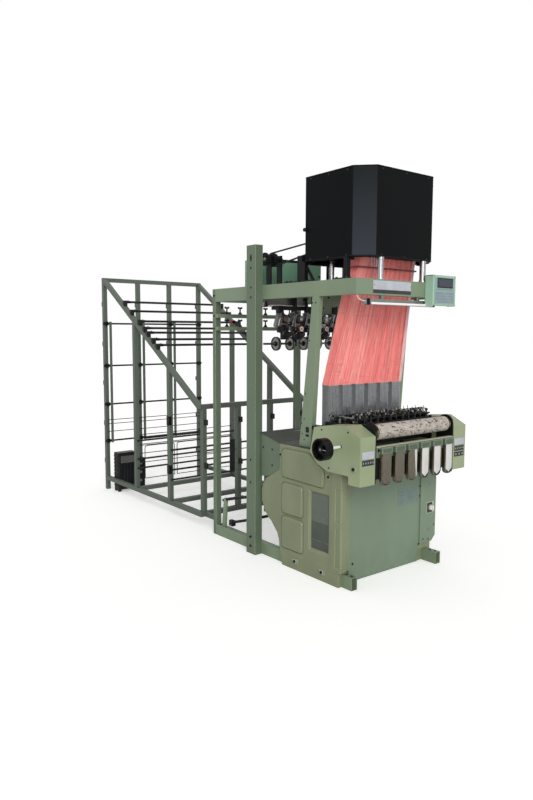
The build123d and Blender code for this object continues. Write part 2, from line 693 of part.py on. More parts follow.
# Front panel with its lower right corner cut away, and the switch box beside it.
with BuildPart() as front_panel:
    panel_end = CABINET_X[0] - PANEL_SEAM
    panel_y = (BED_FRONT - PANEL_SHEET, BED_FRONT)
    slab((-PANEL_HALF, panel_end), panel_y, PANEL_Z)
    slab((panel_end - PANEL_NOTCH, panel_end), panel_y, (PANEL_Z[0], PANEL_NOTCH_Z), Mode.SUBTRACT)
    slab(CABINET_X, (CABINET_FRONT, CAST_FRONT), CABINET_Z)
    box_x = (CAST_OUTER, CABINET_X[1])
    slab(box_x, (CAST_FRONT, CABINET_BACK), CABINET_Z)
    slab(
        (CAST_OUTER, CABINET_X[1] - CABINET_WALL), (CAST_FRONT, CABINET_BACK - CABINET_WALL),
        shrunk(CABINET_Z, CABINET_WALL), Mode.SUBTRACT,
    )
    with BuildSketch(Plane.XZ.offset(-CABINET_BACK)):
        with BuildLine():
            Polyline(
                (CABINET_X[1] - CABINET_BEVEL, CABINET_Z[0]), (CABINET_X[1], CABINET_Z[0]),
                (CABINET_X[1], CABINET_Z[0] + CABINET_BEVEL), close=True,
            )
        make_face()
    extrude(amount=CABINET_BACK - CABINET_FRONT, mode=Mode.SUBTRACT)
    boss_front = CABINET_FRONT - SWITCH_BOSS_DEPTH
    y_rod(SWITCH_X, (boss_front, CABINET_FRONT), SWITCH_Z, SWITCH_BOSS_RADIUS)
    y_rod(
        SWITCH_X, (boss_front, boss_front + SWITCH_BORE), SWITCH_Z,
        KNOB_SHAFT_RADIUS + SHAFT_CLEARANCE, Mode.SUBTRACT,
    )
save("front_panel", front_panel)

# Top cover: one bent sheet, flat over the castings and rising to the back.
with BuildPart() as top_cover:
    cover_outline = [
        (COVER_FRONT, COVER_Z),
        (COVER_BEND, COVER_Z),
        (COVER_BACK, COVER_BACK_Z),
        (COVER_BACK, COVER_BACK_Z + COVER_SHEET),
        (COVER_BEND, COVER_TOP),
        (COVER_FRONT, COVER_TOP),
    ]
    side_profile(1, (-CAST_OUTER, CAST_OUTER), cover_outline)
save("top_cover", top_cover)

# Rear cover: a folded sheet box behind the bed, open towards it, with side plates.
with BuildPart() as rear_cover:
    rear_outline = [
        (BED_BACK, REAR_TUCK_Z),
        (BED_BACK + REAR_LIP, REAR_TUCK_Z),
        (REAR_SWEEP_Y, REAR_BASE_Z),
        (COVER_BACK, REAR_BASE_Z),
        (COVER_BACK, COVER_BACK_Z),
        (COVER_BEND, COVER_Z),
        (BED_BACK, COVER_Z),
    ]
    profile((-RAIL_OUTER, RAIL_OUTER), rear_outline)
    slab(
        (-RAIL_OUTER + COVER_SHEET, RAIL_OUTER - COVER_SHEET),
        (BED_BACK, COVER_BACK - COVER_SHEET),
        (REAR_BASE_Z + REAR_FLOOR, REAR_ROOF_Z), Mode.SUBTRACT,
    )
    for side in SIDES:
        side_profile(
            side, (RAIL_OUTER, RAIL_OUTER + SIDE_PLATE_THICK),
            [
                (COVER_BEND, COVER_Z), CAST_NECK, CAST_BULGE_HIGH[2],
                (COVER_BACK, SIDE_PLATE_CORNER_Z), (COVER_BACK, COVER_BACK_Z),
            ],
        )
save("rear_cover", rear_cover)


def side_casting(side, with_pillar):
    """Build one side casting that straddles its floor rail."""
    with BuildPart() as casting:
        start = min(side * RAIL_OUTER, side * CAST_OUTER)
        with BuildSketch(Plane.YZ.offset(start)):
            with BuildLine():
                Polyline(
                    CAST_BULGE_HIGH[2], CAST_NECK, (COVER_BEND, COVER_Z), CAST_TOP_FRONT,
                    CAST_TOP_STEP, (PILLAR_BACK, PILLAR_Z[1]), (CAST_FRONT, PILLAR_Z[1]),
                    (CAST_FRONT, 0), (CAST_FOOT_BACK, 0), CAST_HOLLOW[0],
                )
                ThreePointArc(*CAST_HOLLOW)
                ThreePointArc(*CAST_BULGE_LOW)
                ThreePointArc(*CAST_BULGE_HIGH)
            make_face()
        extrude(amount=CAST_OUTER - RAIL_OUTER)
        side_slab(
            side, (CHEEK_INNER, RAIL_OUTER), (BED_FRONT, CHEEK_BACK), (RAIL_HEIGHT, BED_SADDLE_Z),
        )
        side_slab(side, (CHEEK_INNER, RAIL_INNER), (CHEEK_FRONT, CHEEK_BACK), (0, RAIL_HEIGHT))
        flange_front = FLANGE_FRONT if with_pillar else CAST_FRONT
        flange_inner = PANEL_HALF + FLANGE_GAP if with_pillar else CABINET_X[0]
        side_slab(side, (flange_inner, RAIL_OUTER), (flange_front, BED_FRONT), FLANGE_Z)
        for pad in (UPPER_PAD, MIDDLE_PAD, LOWER_PAD):
            raised_pad(side, CAST_OUTER, PAD_RISE, PAD_SLOPE, PAD_RADIUS, pad)
        for pad_y in FOOT_PAD_Y:
            side_slab(side, (CAST_OUTER, CAST_OUTER + FOOT_PAD_RISE), pad_y, FOOT_PAD_Z)
        for boss_y, boss_z, radius in (REAR_BOSS, FRONT_BOSS):
            x_bar((side * CAST_OUTER, side * (CAST_OUTER + BOSS_RISE)), boss_y, boss_z, radius, BOSS_SIDES)
        sloped_recess(side, CAST_OUTER, WINDOW_DEPTH, WINDOW_SLOPE, WINDOW_Y, WINDOW_Z)
        if with_pillar:
            side_slab(
                side, (RAIL_OUTER, CAST_OUTER), (CAST_FOOT_FRONT, CAST_FRONT), (0, PILLAR_Z[0]),
            )
            side_slab(side, (RAIL_OUTER, PILLAR_OUTER), (PILLAR_FRONT, PILLAR_BACK), PILLAR_Z)
            side_slab(side, (PILLAR_INNER, RAIL_OUTER), (PILLAR_FRONT, BED_FRONT), PILLAR_Z)
            for recess_z in PILLAR_RECESS_Z:
                side_slab(
                    side, (PILLAR_OUTER - PILLAR_RECESS_DEPTH, PILLAR_OUTER), PILLAR_RECESS_Y,
                    recess_z, Mode.SUBTRACT,
                )
            corner_x = side * PILLAR_OUTER
            for z0, z1 in PILLAR_CHAMFER_Z:
                with BuildSketch(Plane.XY.offset(z0)):
                    with BuildLine():
                        Polyline(
                            (corner_x, PILLAR_FRONT), (corner_x, PILLAR_FRONT + PILLAR_CHAMFER),
                            (corner_x - side * PILLAR_CHAMFER, PILLAR_FRONT), close=True,
                        )
                    make_face()
                extrude(amount=z1 - z0, mode=Mode.SUBTRACT)
    return casting


left_side_casting = side_casting(-1, True)
save("left_side_casting", left_side_casting)
right_side_casting = side_casting(1, False)
save("right_side_casting", right_side_casting)

with BuildPart() as switch_knob:
    knob_back = CABINET_FRONT - SWITCH_BOSS_DEPTH - KNOB_GAP
    y_rod(SWITCH_X, (knob_back - KNOB_DEPTH, knob_back), SWITCH_Z, KNOB_RADIUS)
    grip_y = (knob_back - KNOB_DEPTH - KNOB_GRIP_DEPTH, knob_back - KNOB_DEPTH)
    slab(
        (SWITCH_X - KNOB_GRIP / 2, SWITCH_X + KNOB_GRIP / 2), grip_y,
        (SWITCH_Z - KNOB_RADIUS, SWITCH_Z + KNOB_RADIUS),
    )
    y_rod(SWITCH_X, (knob_back, knob_back + KNOB_SHAFT_DEPTH), SWITCH_Z, KNOB_SHAFT_RADIUS)
save("switch_knob", switch_knob)


def head_housing(side, with_wheel):
    """Build one hollow head housing, open underneath."""
    with BuildPart() as housing:
        side_profile(side, (HOUSING_INNER, HOUSING_OUTER), HOUSING_OUTLINE)
        start = min(side * (HOUSING_INNER + HOUSING_WALL), side * (HOUSING_OUTER - HOUSING_WALL))
        with BuildSketch(Plane.YZ.offset(start)):
            with BuildLine():
                Polyline(*HOUSING_OUTLINE, close=True)
            make_face()
            offset(amount=-HOUSING_WALL, kind=Kind.INTERSECTION, mode=Mode.REPLACE)
        extrude(amount=HOUSING_OUTER - HOUSING_INNER - 2 * HOUSING_WALL, mode=Mode.SUBTRACT)
        side_slab(
            side, (HOUSING_INNER + HOUSING_WALL, HOUSING_OUTER - HOUSING_WALL),
            shrunk((HOUSING_FRONT, HOUSING_STEP_Y), HOUSING_WALL),
            (HOUSING_FOOT_Z, HOUSING_FOOT_Z + HOUSING_WALL), Mode.SUBTRACT,
        )
        boss_y, boss_z, radius = HOUSING_BOSS
        boss_x = (side * HOUSING_OUTER, side * (HOUSING_OUTER + BOSS_RISE))
        x_bar(boss_x, boss_y, boss_z, radius, BOSS_SIDES)
        if with_wheel:
            x_rod((-HOUSING_OUTER, WHEEL_BOSS_END), WHEEL_Y, WHEEL_Z, WHEEL_BOSS_RADIUS)
            x_rod(
                (-HOUSING_OUTER, WHEEL_BOSS_END), WHEEL_Y, WHEEL_Z,
                WHEEL_SHAFT_RADIUS + SHAFT_CLEARANCE, Mode.SUBTRACT,
            )
    return housing


left_head_housing = head_housing(-1, True)
save("left_head_housing", left_head_housing)
right_head_housing = head_housing(1, False)
save("right_head_housing", right_head_housing)

# Hand wheel with its shaft, turning in the left housing.
with BuildPart() as hand_wheel:
    x_rod(WHEEL_X, WHEEL_Y, WHEEL_Z, WHEEL_RADIUS)
    dish_x = (WHEEL_X[0], WHEEL_X[0] + WHEEL_DISH)
    x_rod(dish_x, WHEEL_Y, WHEEL_Z, WHEEL_RADIUS - WHEEL_RIM, Mode.SUBTRACT)
    x_rod((WHEEL_X[0] + WHEEL_HUB_SETBACK, WHEEL_X[1]), WHEEL_Y, WHEEL_Z, WHEEL_HUB_RADIUS)
    shaft_x = (WHEEL_X[1], WHEEL_BOSS_END + WHEEL_SHAFT_TAIL)
    x_rod(shaft_x, WHEEL_Y, WHEEL_Z, WHEEL_SHAFT_RADIUS)
save("hand_wheel", hand_wheel)

# Take up roller with journals in the two brackets.
with BuildPart() as take_up_roller:
    x_rod((-ROLLER_HALF, ROLLER_HALF), ROLLER_Y, ROLLER_Z, ROLLER_RADIUS)
    x_rod((-HOUSING_INNER, HOUSING_INNER), ROLLER_Y, ROLLER_Z, JOURNAL_RADIUS)
save("take_up_roller", take_up_roller)

with BuildPart() as roller_brackets:
    for side in SIDES:
        side_profile(side, (BRACKET_INNER, HOUSING_INNER), BRACKET_OUTLINE)
        side_bore = (side * BRACKET_INNER, side * HOUSING_INNER)
        x_rod(side_bore, ROLLER_Y, ROLLER_Z, JOURNAL_RADIUS + SHAFT_CLEARANCE, Mode.SUBTRACT)
save("roller_brackets", roller_brackets)

# Delivery bar with one tape clamp on its front for each head.
with BuildPart() as delivery_bar:
    slab((-BRACKET_INNER, BRACKET_INNER), DELIVERY_Y, DELIVERY_Z)
    for x in HEAD_X:
        clamp_x = (x - CLAMP_HALF, x + CLAMP_HALF)
        slab(clamp_x, (DELIVERY_Y[0] - CLAMP_DEPTH, DELIVERY_Y[0]), CLAMP_Z)
save("delivery_bar", delivery_bar)


def chute_outline(middle, half, top, tip):
    """Return the face of a chute in X and Z: straight sides and a rounded tip."""
    right = [(middle + share * half, tip + rise) for share, rise in CHUTE_TIP]
    left = [(2 * middle - x, z) for x, z in reversed(right)]
    return [(middle + half, top), *right, *left, (middle - half, top)]


# Tape chutes: troughs with rounded tips, hung on the delivery bar under the clamps.
with BuildPart() as tape_chutes:
    for x in HEAD_X:
        for wall, mode in ((0.0, Mode.ADD), (CHUTE_WALL, Mode.SUBTRACT)):
            with BuildSketch(Plane.XZ.offset(-DELIVERY_Y[0] + wall)):
                with BuildLine():
                    Polyline(
                        *chute_outline(x, CHUTE_HALF - wall, CLAMP_Z[0], CHUTE_TIP_Z + wall),
                        close=True,
                    )
                make_face()
            extrude(amount=CHUTE_DEPTH - wall, mode=mode)
save("tape_chutes", tape_chutes)

# Weaving beam with one head block for each tape.
with BuildPart() as weaving_beam:
    slab((-HOUSING_INNER, HOUSING_INNER), WEAVE_Y, WEAVE_Z)
    for x in HEAD_X:
        slab(
            (x - HEAD_BLOCK_HALF, x + HEAD_BLOCK_HALF), HEAD_BLOCK_Y, (WEAVE_Z[1], HEAD_BLOCK_TOP),
        )
save("weaving_beam", weaving_beam)

with BuildPart() as reed_frames:
    for x in HEAD_X:
        slab((x - REED_HALF, x + REED_HALF), REED_Y, (WEAVE_Z[1], REED_TOP))
        slab(
            (x - REED_HALF + REED_BAR, x + REED_HALF - REED_BAR), REED_Y,
            (WEAVE_Z[1] + REED_BAR, REED_TOP - REED_BAR), Mode.SUBTRACT,
        )
save("reed_frames", reed_frames)

# Weft needle arms: a post beside each reed and an arm that reaches forward.
with BuildPart() as weft_needle_arms:
    for x in HEAD_X:
        post_x = x - NEEDLE_POST_OFFSET
        slab(
            (post_x - NEEDLE_POST_HALF, post_x + NEEDLE_POST_HALF),
            (NEEDLE_POST_Y - NEEDLE_POST_HALF, NEEDLE_POST_Y + NEEDLE_POST_HALF),
            (WEAVE_Z[1], NEEDLE_POST_TOP),
        )
        slab(
            (post_x - NEEDLE_WIDTH / 2, post_x + NEEDLE_WIDTH / 2),
            (NEEDLE_POST_Y - NEEDLE_REACH, NEEDLE_POST_Y),
            (NEEDLE_POST_TOP - NEEDLE_THICK, NEEDLE_POST_TOP),
        )
save("weft_needle_arms", weft_needle_arms)

with BuildPart() as heddle_sets:
    for x in HEAD_X:
        slab((x - HEDDLE_HALF, x + HEDDLE_HALF), HEDDLE_Y, (COVER_TOP, HEDDLE_TOP))
save("heddle_sets", heddle_sets)

# Harness: one bundle of cords for each tape, spreading from the head to the heddles.
# Each bundle is drawn from the front and then trimmed to its slope seen from the side.
with BuildPart() as harness_cords:
    for i, x in enumerate(HEAD_X):
        neck_x = NECK_PITCH * (i - (HEAD_COUNT - 1) / 2)
        with BuildSketch(Plane.XZ.offset(-HEDDLE_Y[1])):
            with BuildLine():
                Polyline(
                    (x - HEDDLE_HALF, HEDDLE_TOP), (x + HEDDLE_HALF, HEDDLE_TOP),
                    (neck_x + NECK_HALF, MODULE_Z[0]), (neck_x - NECK_HALF, MODULE_Z[0]),
                    close=True,
                )
            make_face()
        extrude(amount=HEDDLE_Y[1] - NECK_Y[0])
    trim_x = (-HEAD_HALF_X, HEAD_HALF_X)
    front_trim = [(NECK_Y[0], HEDDLE_TOP), (HEDDLE_Y[0], HEDDLE_TOP), (NECK_Y[0], MODULE_Z[0])]
    back_trim = [(HEDDLE_Y[1], HEDDLE_TOP), (HEDDLE_Y[1], MODULE_Z[0]), (NECK_Y[1], MODULE_Z[0])]
    profile(trim_x, front_trim, Mode.SUBTRACT)
    profile(trim_x, back_trim, Mode.SUBTRACT)
save("harness_cords", harness_cords)


def octagon(half_x, half_y, corner):
    """Return the outline of the head: a rectangle with its corners cut."""
    outline = []
    for sx, sy in ((1, 1), (-1, 1), (-1, -1), (1, -1)):
        long_point = (sx * half_x, HEAD_CENTRE_Y + sy * (half_y - corner))
        short_point = (sx * (half_x - corner), HEAD_CENTRE_Y + sy * half_y)
        pair = [long_point, short_point]
        if sx * sy < 0:
            pair.reverse()
        outline.extend(pair)
    return outline


# Cover of the jacquard head: a shell with a flange inside its lower edge.
with BuildPart() as head_cover:
    with BuildSketch(Plane.XY.offset(HEAD_BOTTOM)):
        with BuildLine():
            Polyline(*octagon(HEAD_HALF_X, HEAD_HALF_Y, HEAD_CORNER), close=True)
        make_face()
    extrude(amount=HEAD_TOP - HEAD_BOTTOM)
    with BuildSketch(Plane.XY.offset(HEAD_BOTTOM)):
        with BuildLine():
            Polyline(
                *octagon(
                    HEAD_HALF_X - HEAD_FLANGE, HEAD_HALF_Y - HEAD_FLANGE,
                    HEAD_CORNER - HEAD_FLANGE / 2,
                ),
                close=True,
            )
        make_face()
    extrude(amount=HEAD_FLANGE_THICK, mode=Mode.SUBTRACT)
    with BuildSketch(Plane.XY.offset(HEAD_BOTTOM + HEAD_FLANGE_THICK)):
        with BuildLine():
            Polyline(
                *octagon(
                    HEAD_HALF_X - HEAD_WALL, HEAD_HALF_Y - HEAD_WALL,
                    HEAD_CORNER - HEAD_WALL / 2,
                ),
                close=True,
            )
        make_face()
    extrude(
        amount=HEAD_TOP - HEAD_BOTTOM - HEAD_FLANGE_THICK - HEAD_WALL, mode=Mode.SUBTRACT,
    )
    slab(
        SLOT_X, (HEAD_CENTRE_Y + HEAD_HALF_Y / 2, HEAD_CENTRE_Y + HEAD_HALF_Y), SLOT_Z,
        Mode.SUBTRACT,
    )
save("head_cover", head_cover)

# Hook module inside the cover, with the stub that the belt drives.
with BuildPart() as harness_module:
    module_half = HEAD_HALF_X - HEAD_WALL
    slab((-module_half, module_half), MODULE_Y, MODULE_Z)
    slab(
        (-module_half, SLOT_X[0]), (MODULE_Y[1], MODULE_ARM_BACK),
        (MODULE_Z[0], MODULE_ARM_TOP),
    )
    x_rod((SLOT_X[0], PULLEY_X[1]), DRIVEN_Y, DRIVEN_Z, DRIVEN_RADIUS)
save("harness_module", harness_module)

with BuildPart() as head_columns:
    for side in SIDES:
        z_rod(side * COLUMN_X, COLUMN_FRONT_Y, (BEAM_TOP, HEAD_BOTTOM), COLUMN_RADIUS)
        z_rod(side * COLUMN_X, COLUMN_REAR_Y, (BEAM_TOP, MODULE_Z[0]), COLUMN_RADIUS)
save("head_columns", head_columns)

# Black brackets: a foot on the side beam, a post and an arm under the head; the rear
# posts also have a horn beside the head, a tie between them and a brace at their feet.
with BuildPart() as head_brackets:
    foot_z = (BEAM_TOP, BEAM_TOP + POST_FOOT_THICK)
    for side in SIDES:
        for post_y, foot_y in ((FRONT_POST_Y, FRONT_FOOT_Y), (REAR_POST_Y, REAR_FOOT_Y)):
            side_slab(side, POST_FOOT_X, foot_y, foot_z)
            side_slab(side, POST_X, post_y, (foot_z[1], HEAD_BOTTOM))
            side_slab(
                side, (POST_X[0] - ARM_REACH, POST_X[0]), post_y,
                (HEAD_BOTTOM - ARM_THICK, HEAD_BOTTOM),
            )
        side_slab(side, POST_X, REAR_HORN_Y, (HEAD_BOTTOM, HEAD_BOTTOM + REAR_HORN_RISE))
        side_profile(
            side, (POST_X[0], POST_X[0] + BRACE_THICK),
            [
                (REAR_POST_Y[0], foot_z[1] + BRACE_TOP[1]),
                (REAR_POST_Y[0], foot_z[1] + BRACE_TOP[0]),
                (BRACE_FOOT_Y[1], foot_z[1]), (BRACE_FOOT_Y[0], foot_z[1]),
            ],
        )
    slab((-POST_X[0], POST_X[0]), TIE_Y, (HEAD_BOTTOM - TIE_THICK, HEAD_BOTTOM))
save("head_brackets", head_brackets)


def belt_outline(grow, mode):
    """Draw the outline round both pulleys, grown outwards, in the sketch being built."""
    big = PULLEY_RADIUS + grow
    small = DRIVEN_RADIUS + grow
    span = hypot(DRIVEN_Y - DRIVE_Y, DRIVEN_Z - DRIVE_Z)
    along = toward((DRIVE_Y, DRIVE_Z), (DRIVEN_Y, DRIVEN_Z))
    lean = (big - small) / span
    spread = sqrt(1 - lean * lean)
    corners = []
    for sign in SIDES:
        normal = (
            lean * along[0] - sign * spread * along[1], lean * along[1] + sign * spread * along[0],
        )
        near = (DRIVE_Y + big * normal[0], DRIVE_Z + big * normal[1])
        far = (DRIVEN_Y + small * normal[0], DRIVEN_Z + small * normal[1])
        corners.extend((near, far) if sign < 0 else (far, near))
    with Locations((DRIVE_Y, DRIVE_Z)):
        Circle(big, mode=mode)
    with Locations((DRIVEN_Y, DRIVEN_Z)):
        Circle(small, mode=mode)
    Polygon(*corners, align=None, mode=mode)


# Jacquard drive: three plates on one base carry the shaft with its pulley and end disc.
with BuildPart() as drive_bracket:
    drive_base_x = (
        OUTER_DISC_X[0] + DRIVE_BASE_EDGE / 2, DRIVE_PLATES[-1][1] + DRIVE_BASE_EDGE,
    )
    drive_base_z = (BEAM_TOP, BEAM_TOP + DRIVE_BASE_THICK)
    slab(drive_base_x, DRIVE_BAR_Y, drive_base_z)
    for plate_x in DRIVE_PLATES:
        plate_y = (DRIVE_Y - DRIVE_PLATE_HALF, DRIVE_Y + DRIVE_PLATE_HALF)
        slab(plate_x, plate_y, (drive_base_z[1], BEAM_TOP + DRIVE_PLATE_RISE))
        x_rod(plate_x, DRIVE_Y, DRIVE_Z, DRIVE_SHAFT_RADIUS + SHAFT_CLEARANCE, Mode.SUBTRACT)
save("drive_bracket", drive_bracket)

with BuildPart() as drive_pulley:
    x_rod((OUTER_DISC_X[0], DRIVE_PLATES[-1][1]), DRIVE_Y, DRIVE_Z, DRIVE_SHAFT_RADIUS)
    x_rod(OUTER_DISC_X, DRIVE_Y, DRIVE_Z, PULLEY_RADIUS)
    x_rod(PULLEY_X, DRIVE_Y, DRIVE_Z, PULLEY_RADIUS)
save("drive_pulley", drive_pulley)

with BuildPart() as drive_belt:
    with BuildSketch(Plane.YZ.offset(BELT_X[0])):
        belt_outline(BELT_CLEARANCE + BELT_THICK, Mode.ADD)
        belt_outline(BELT_CLEARANCE, Mode.SUBTRACT)
    extrude(amount=BELT_X[1] - BELT_X[0])
save("drive_belt", drive_belt)

with BuildPart() as electrical_box:
    slab((-EBOX_HALF, EBOX_HALF), EBOX_Y, (BEAM_TOP, EBOX_TOP))
save("electrical_box", electrical_box)

# Weft feeders: a frame hung from the drive cross bar, and a driven disc shaft.
with BuildPart() as weft_feeders:
    slab((-FEEDER_BAR_HALF, FEEDER_BAR_HALF), HANGER_Y, FEEDER_BAR_Z)
    feeder_outline = [
        (HANGER_Y[0] - reach, CROSS_BAR_BOTTOM - drop) for reach, drop in FEEDER_SHAPE
    ]
    for side in SIDES:
        hanger_x = (side * HANGER_X - HANGER_THICK / 2, side * HANGER_X + HANGER_THICK / 2)
        slab(hanger_x, HANGER_Y, (HANGER_BOTTOM, CROSS_BAR_BOTTOM))
        x_rod(hanger_x, FEED_Y, FEED_Z, FEED_RADIUS + SHAFT_CLEARANCE, Mode.SUBTRACT)
    for x in FEEDER_X:
        profile((x - FEEDER_WIDTH / 2, x + FEEDER_WIDTH / 2), feeder_outline)
save("weft_feeders", weft_feeders)

with BuildPart() as feed_shaft:
    x_rod((-FEED_HALF, FEED_HALF), FEED_Y, FEED_Z, FEED_RADIUS)
    for x in DISC_X:
        disc_x = (x - DISC_THICK / 2, x + DISC_THICK / 2)
        x_bar(disc_x, FEED_Y, FEED_Z, DISC_RADIUS, DISC_SIDES)
save("feed_shaft", feed_shaft)

# Lamps: one under the front beam and one under the drive cross bar.
with BuildPart() as lamp_housings:
    slab(LAMP_X, LAMP_Y, LAMP_Z)
    for x in LAMP_TABS:
        slab((x - LAMP_TAB_HALF, x + LAMP_TAB_HALF), LAMP_TAB_Y, (LAMP_Z[1], BEAM_BOTTOM))
    slab(REAR_LAMP_X, REAR_LAMP_Y, REAR_LAMP_Z)
    for x in REAR_LAMP_TABS:
        slab(
            (x - LAMP_TAB_HALF, x + LAMP_TAB_HALF), REAR_LAMP_Y,
            (REAR_LAMP_Z[1], CROSS_BAR_BOTTOM),
        )
save("lamp_housings", lamp_housings)

with BuildPart() as control_box:
    slab(CBOX_X, CBOX_Y, CBOX_Z)
    fillet(control_box.edges().group_by(Axis.Y)[0], CBOX_EDGE)
save("control_box", control_box)

with BuildPart() as yarn_guide_bars:
    for guide_z in GUIDE_Z:
        slab(
            (-RAIL_OUTER, RAIL_OUTER), (REAR_POST_FRONT - GUIDE_DEPTH, REAR_POST_FRONT), guide_z,
        )
save("yarn_guide_bars", yarn_guide_bars)

# Struts: tapered channels, open inwards.
with BuildPart() as struts:
    for side in SIDES:
        side_profile(
            side, STRUT_X,
            [
                (STRUT_FOOT_Y[0], COVER_TOP), (STRUT_FOOT_Y[1], COVER_TOP),
                (STRUT_HEAD_Y[1], BEAM_BOTTOM), (STRUT_HEAD_Y[0], BEAM_BOTTOM),
            ],
        )
        side_profile(
            side, (STRUT_X[0], STRUT_X[1] - STRUT_WALL),
            [
                (STRUT_FOOT_Y[0] + STRUT_WALL, COVER_TOP + STRUT_WALL),
                (STRUT_FOOT_Y[1] - STRUT_WALL, COVER_TOP + STRUT_WALL),
                (STRUT_HEAD_Y[1] - STRUT_WALL, BEAM_BOTTOM - STRUT_WALL),
                (STRUT_HEAD_Y[0] + STRUT_WALL, BEAM_BOTTOM - STRUT_WALL),
            ],
            Mode.SUBTRACT,
        )
save("struts", struts)


def diagonal_z(y):
    """Return the height of the middle of the creel diagonal above a Y place."""
    return DIAGONAL_REF[1] + DIAGONAL_SLOPE * (y - DIAGONAL_REF[0])


DIAGONAL_TILT = atan(DIAGONAL_SLOPE)
DIAGONAL_HALF = CREEL_BAR / 2 / cos(DIAGONAL_TILT)
CREEL_SIDE_X = (
    (CREEL_X[0], CREEL_X[0] + CREEL_BAR),
    (CREEL_X[1] - CREEL_BAR, CREEL_X[1]),
)
CREEL_SPAN = (CREEL_X[0] + CREEL_BAR, CREEL_X[1] - CREEL_BAR)
CREEL_POST_X = [CREEL_X[0] + i * CREEL_PITCH for i in range(CREEL_POSTS)]
CREEL_NEAR_BACK = CREEL_NEAR_Y + CREEL_BAR

COMPANION_BACK = CREEL_FAR_Y - 2 * ROD_RADIUS

# Creel posts: tall ones at the back with a slim companion each, short ones in front,
# and uprights at the sides.
with BuildPart() as creel_posts:
    for x in CREEL_POST_X:
        slab(
            (x, x + CREEL_BAR), (CREEL_FAR_Y, CREEL_FAR_Y + CREEL_BAR),
            (0, CREEL_TOP - CREEL_BAR),
        )
        companion_x = x + CREEL_BAR + COMPANION_GAP
        if companion_x + COMPANION_SIZE < CREEL_X[1]:
            slab(
                (companion_x, companion_x + COMPANION_SIZE),
                (COMPANION_BACK - COMPANION_SIZE, COMPANION_BACK), COMPANION_Z,
            )
    for shift in NEAR_POST_SHIFT:
        near_x = (CREEL_X[0] + shift, CREEL_X[0] + shift + CREEL_BAR)
        near_z = (CREEL_BASE_Z[1], CREEL_NEAR_TOP - CREEL_BAR)
        slab(near_x, (CREEL_NEAR_Y, CREEL_NEAR_BACK), near_z)
    for side_x in CREEL_SIDE_X:
        for y in UPRIGHT_Y:
            profile(
                side_x,
                [
                    (y, CREEL_BASE_Z[1]), (y + CREEL_BAR, CREEL_BASE_Z[1]),
                    (y + CREEL_BAR, diagonal_z(y + CREEL_BAR) - DIAGONAL_HALF),
                    (y, diagonal_z(y) - DIAGONAL_HALF),
                ],
            )
save("creel_posts", creel_posts)

with BuildPart() as creel_diagonals:
    for side_x in CREEL_SIDE_X:
        profile(
            side_x,
            [
                (CREEL_NEAR_BACK, diagonal_z(CREEL_NEAR_BACK) - DIAGONAL_HALF),
                (CREEL_FAR_Y, diagonal_z(CREEL_FAR_Y) - DIAGONAL_HALF),
                (CREEL_FAR_Y, diagonal_z(CREEL_FAR_Y) + DIAGONAL_HALF),
                (CREEL_NEAR_BACK, diagonal_z(CREEL_NEAR_BACK) + DIAGONAL_HALF),
            ],
        )
save("creel_diagonals", creel_diagonals)

# Cross bars of the creel: top, near top, and three at the base.
with BuildPart() as creel_cross_bars:
    slab(CREEL_X, (CREEL_FAR_Y, CREEL_FAR_Y + CREEL_BAR), (CREEL_TOP - CREEL_BAR, CREEL_TOP))
    slab(
        CREEL_X, (CREEL_NEAR_Y, CREEL_NEAR_BACK), (CREEL_NEAR_TOP - CREEL_BAR, CREEL_NEAR_TOP),
    )
    slab(CREEL_X, (CREEL_NEAR_Y, CREEL_NEAR_BACK), CREEL_BASE_Z)
    for y in UPRIGHT_Y:
        slab(CREEL_SPAN, (y, y + CREEL_BAR), CREEL_BASE_Z)
save("creel_cross_bars", creel_cross_bars)

# Side bars at the base and the two links that tie the creel to the loom.
with BuildPart() as creel_side_bars:
    for side_x in CREEL_SIDE_X:
        slab(side_x, (CREEL_NEAR_BACK, CREEL_FAR_Y), CREEL_BASE_Z)
    for side in SIDES:
        side_slab(side, LINK_X, (REAR_POST_BACK, CREEL_NEAR_Y), CREEL_BASE_Z)
save("creel_side_bars", creel_side_bars)

# Yarn rods: between the clamps on the diagonals, on the tall posts and on the side
# uprights, with one thick bar in front of the companions.
with BuildPart() as creel_rods:
    rod_x = (CREEL_X[0] + ROD_END, CREEL_X[1] - ROD_END)
    for y in DIAGONAL_ROD_Y:
        x_bar(CREEL_SPAN, y, diagonal_z(y) + ROD_CLAMP_LIFT, ROD_RADIUS, ROD_SIDES)
    for z in FAR_ROD_Z:
        x_bar(rod_x, CREEL_FAR_Y - ROD_RADIUS, z, ROD_RADIUS, ROD_SIDES)
    for y in UPRIGHT_Y:
        for z in UPRIGHT_ROD_Z:
            x_bar(rod_x, y - ROD_RADIUS, z, ROD_RADIUS, ROD_SIDES)
    thick_bar_back = COMPANION_BACK - COMPANION_SIZE
    slab(THICK_BAR_X, (thick_bar_back - THICK_BAR_DEPTH, thick_bar_back), THICK_BAR_Z)
save("creel_rods", creel_rods)

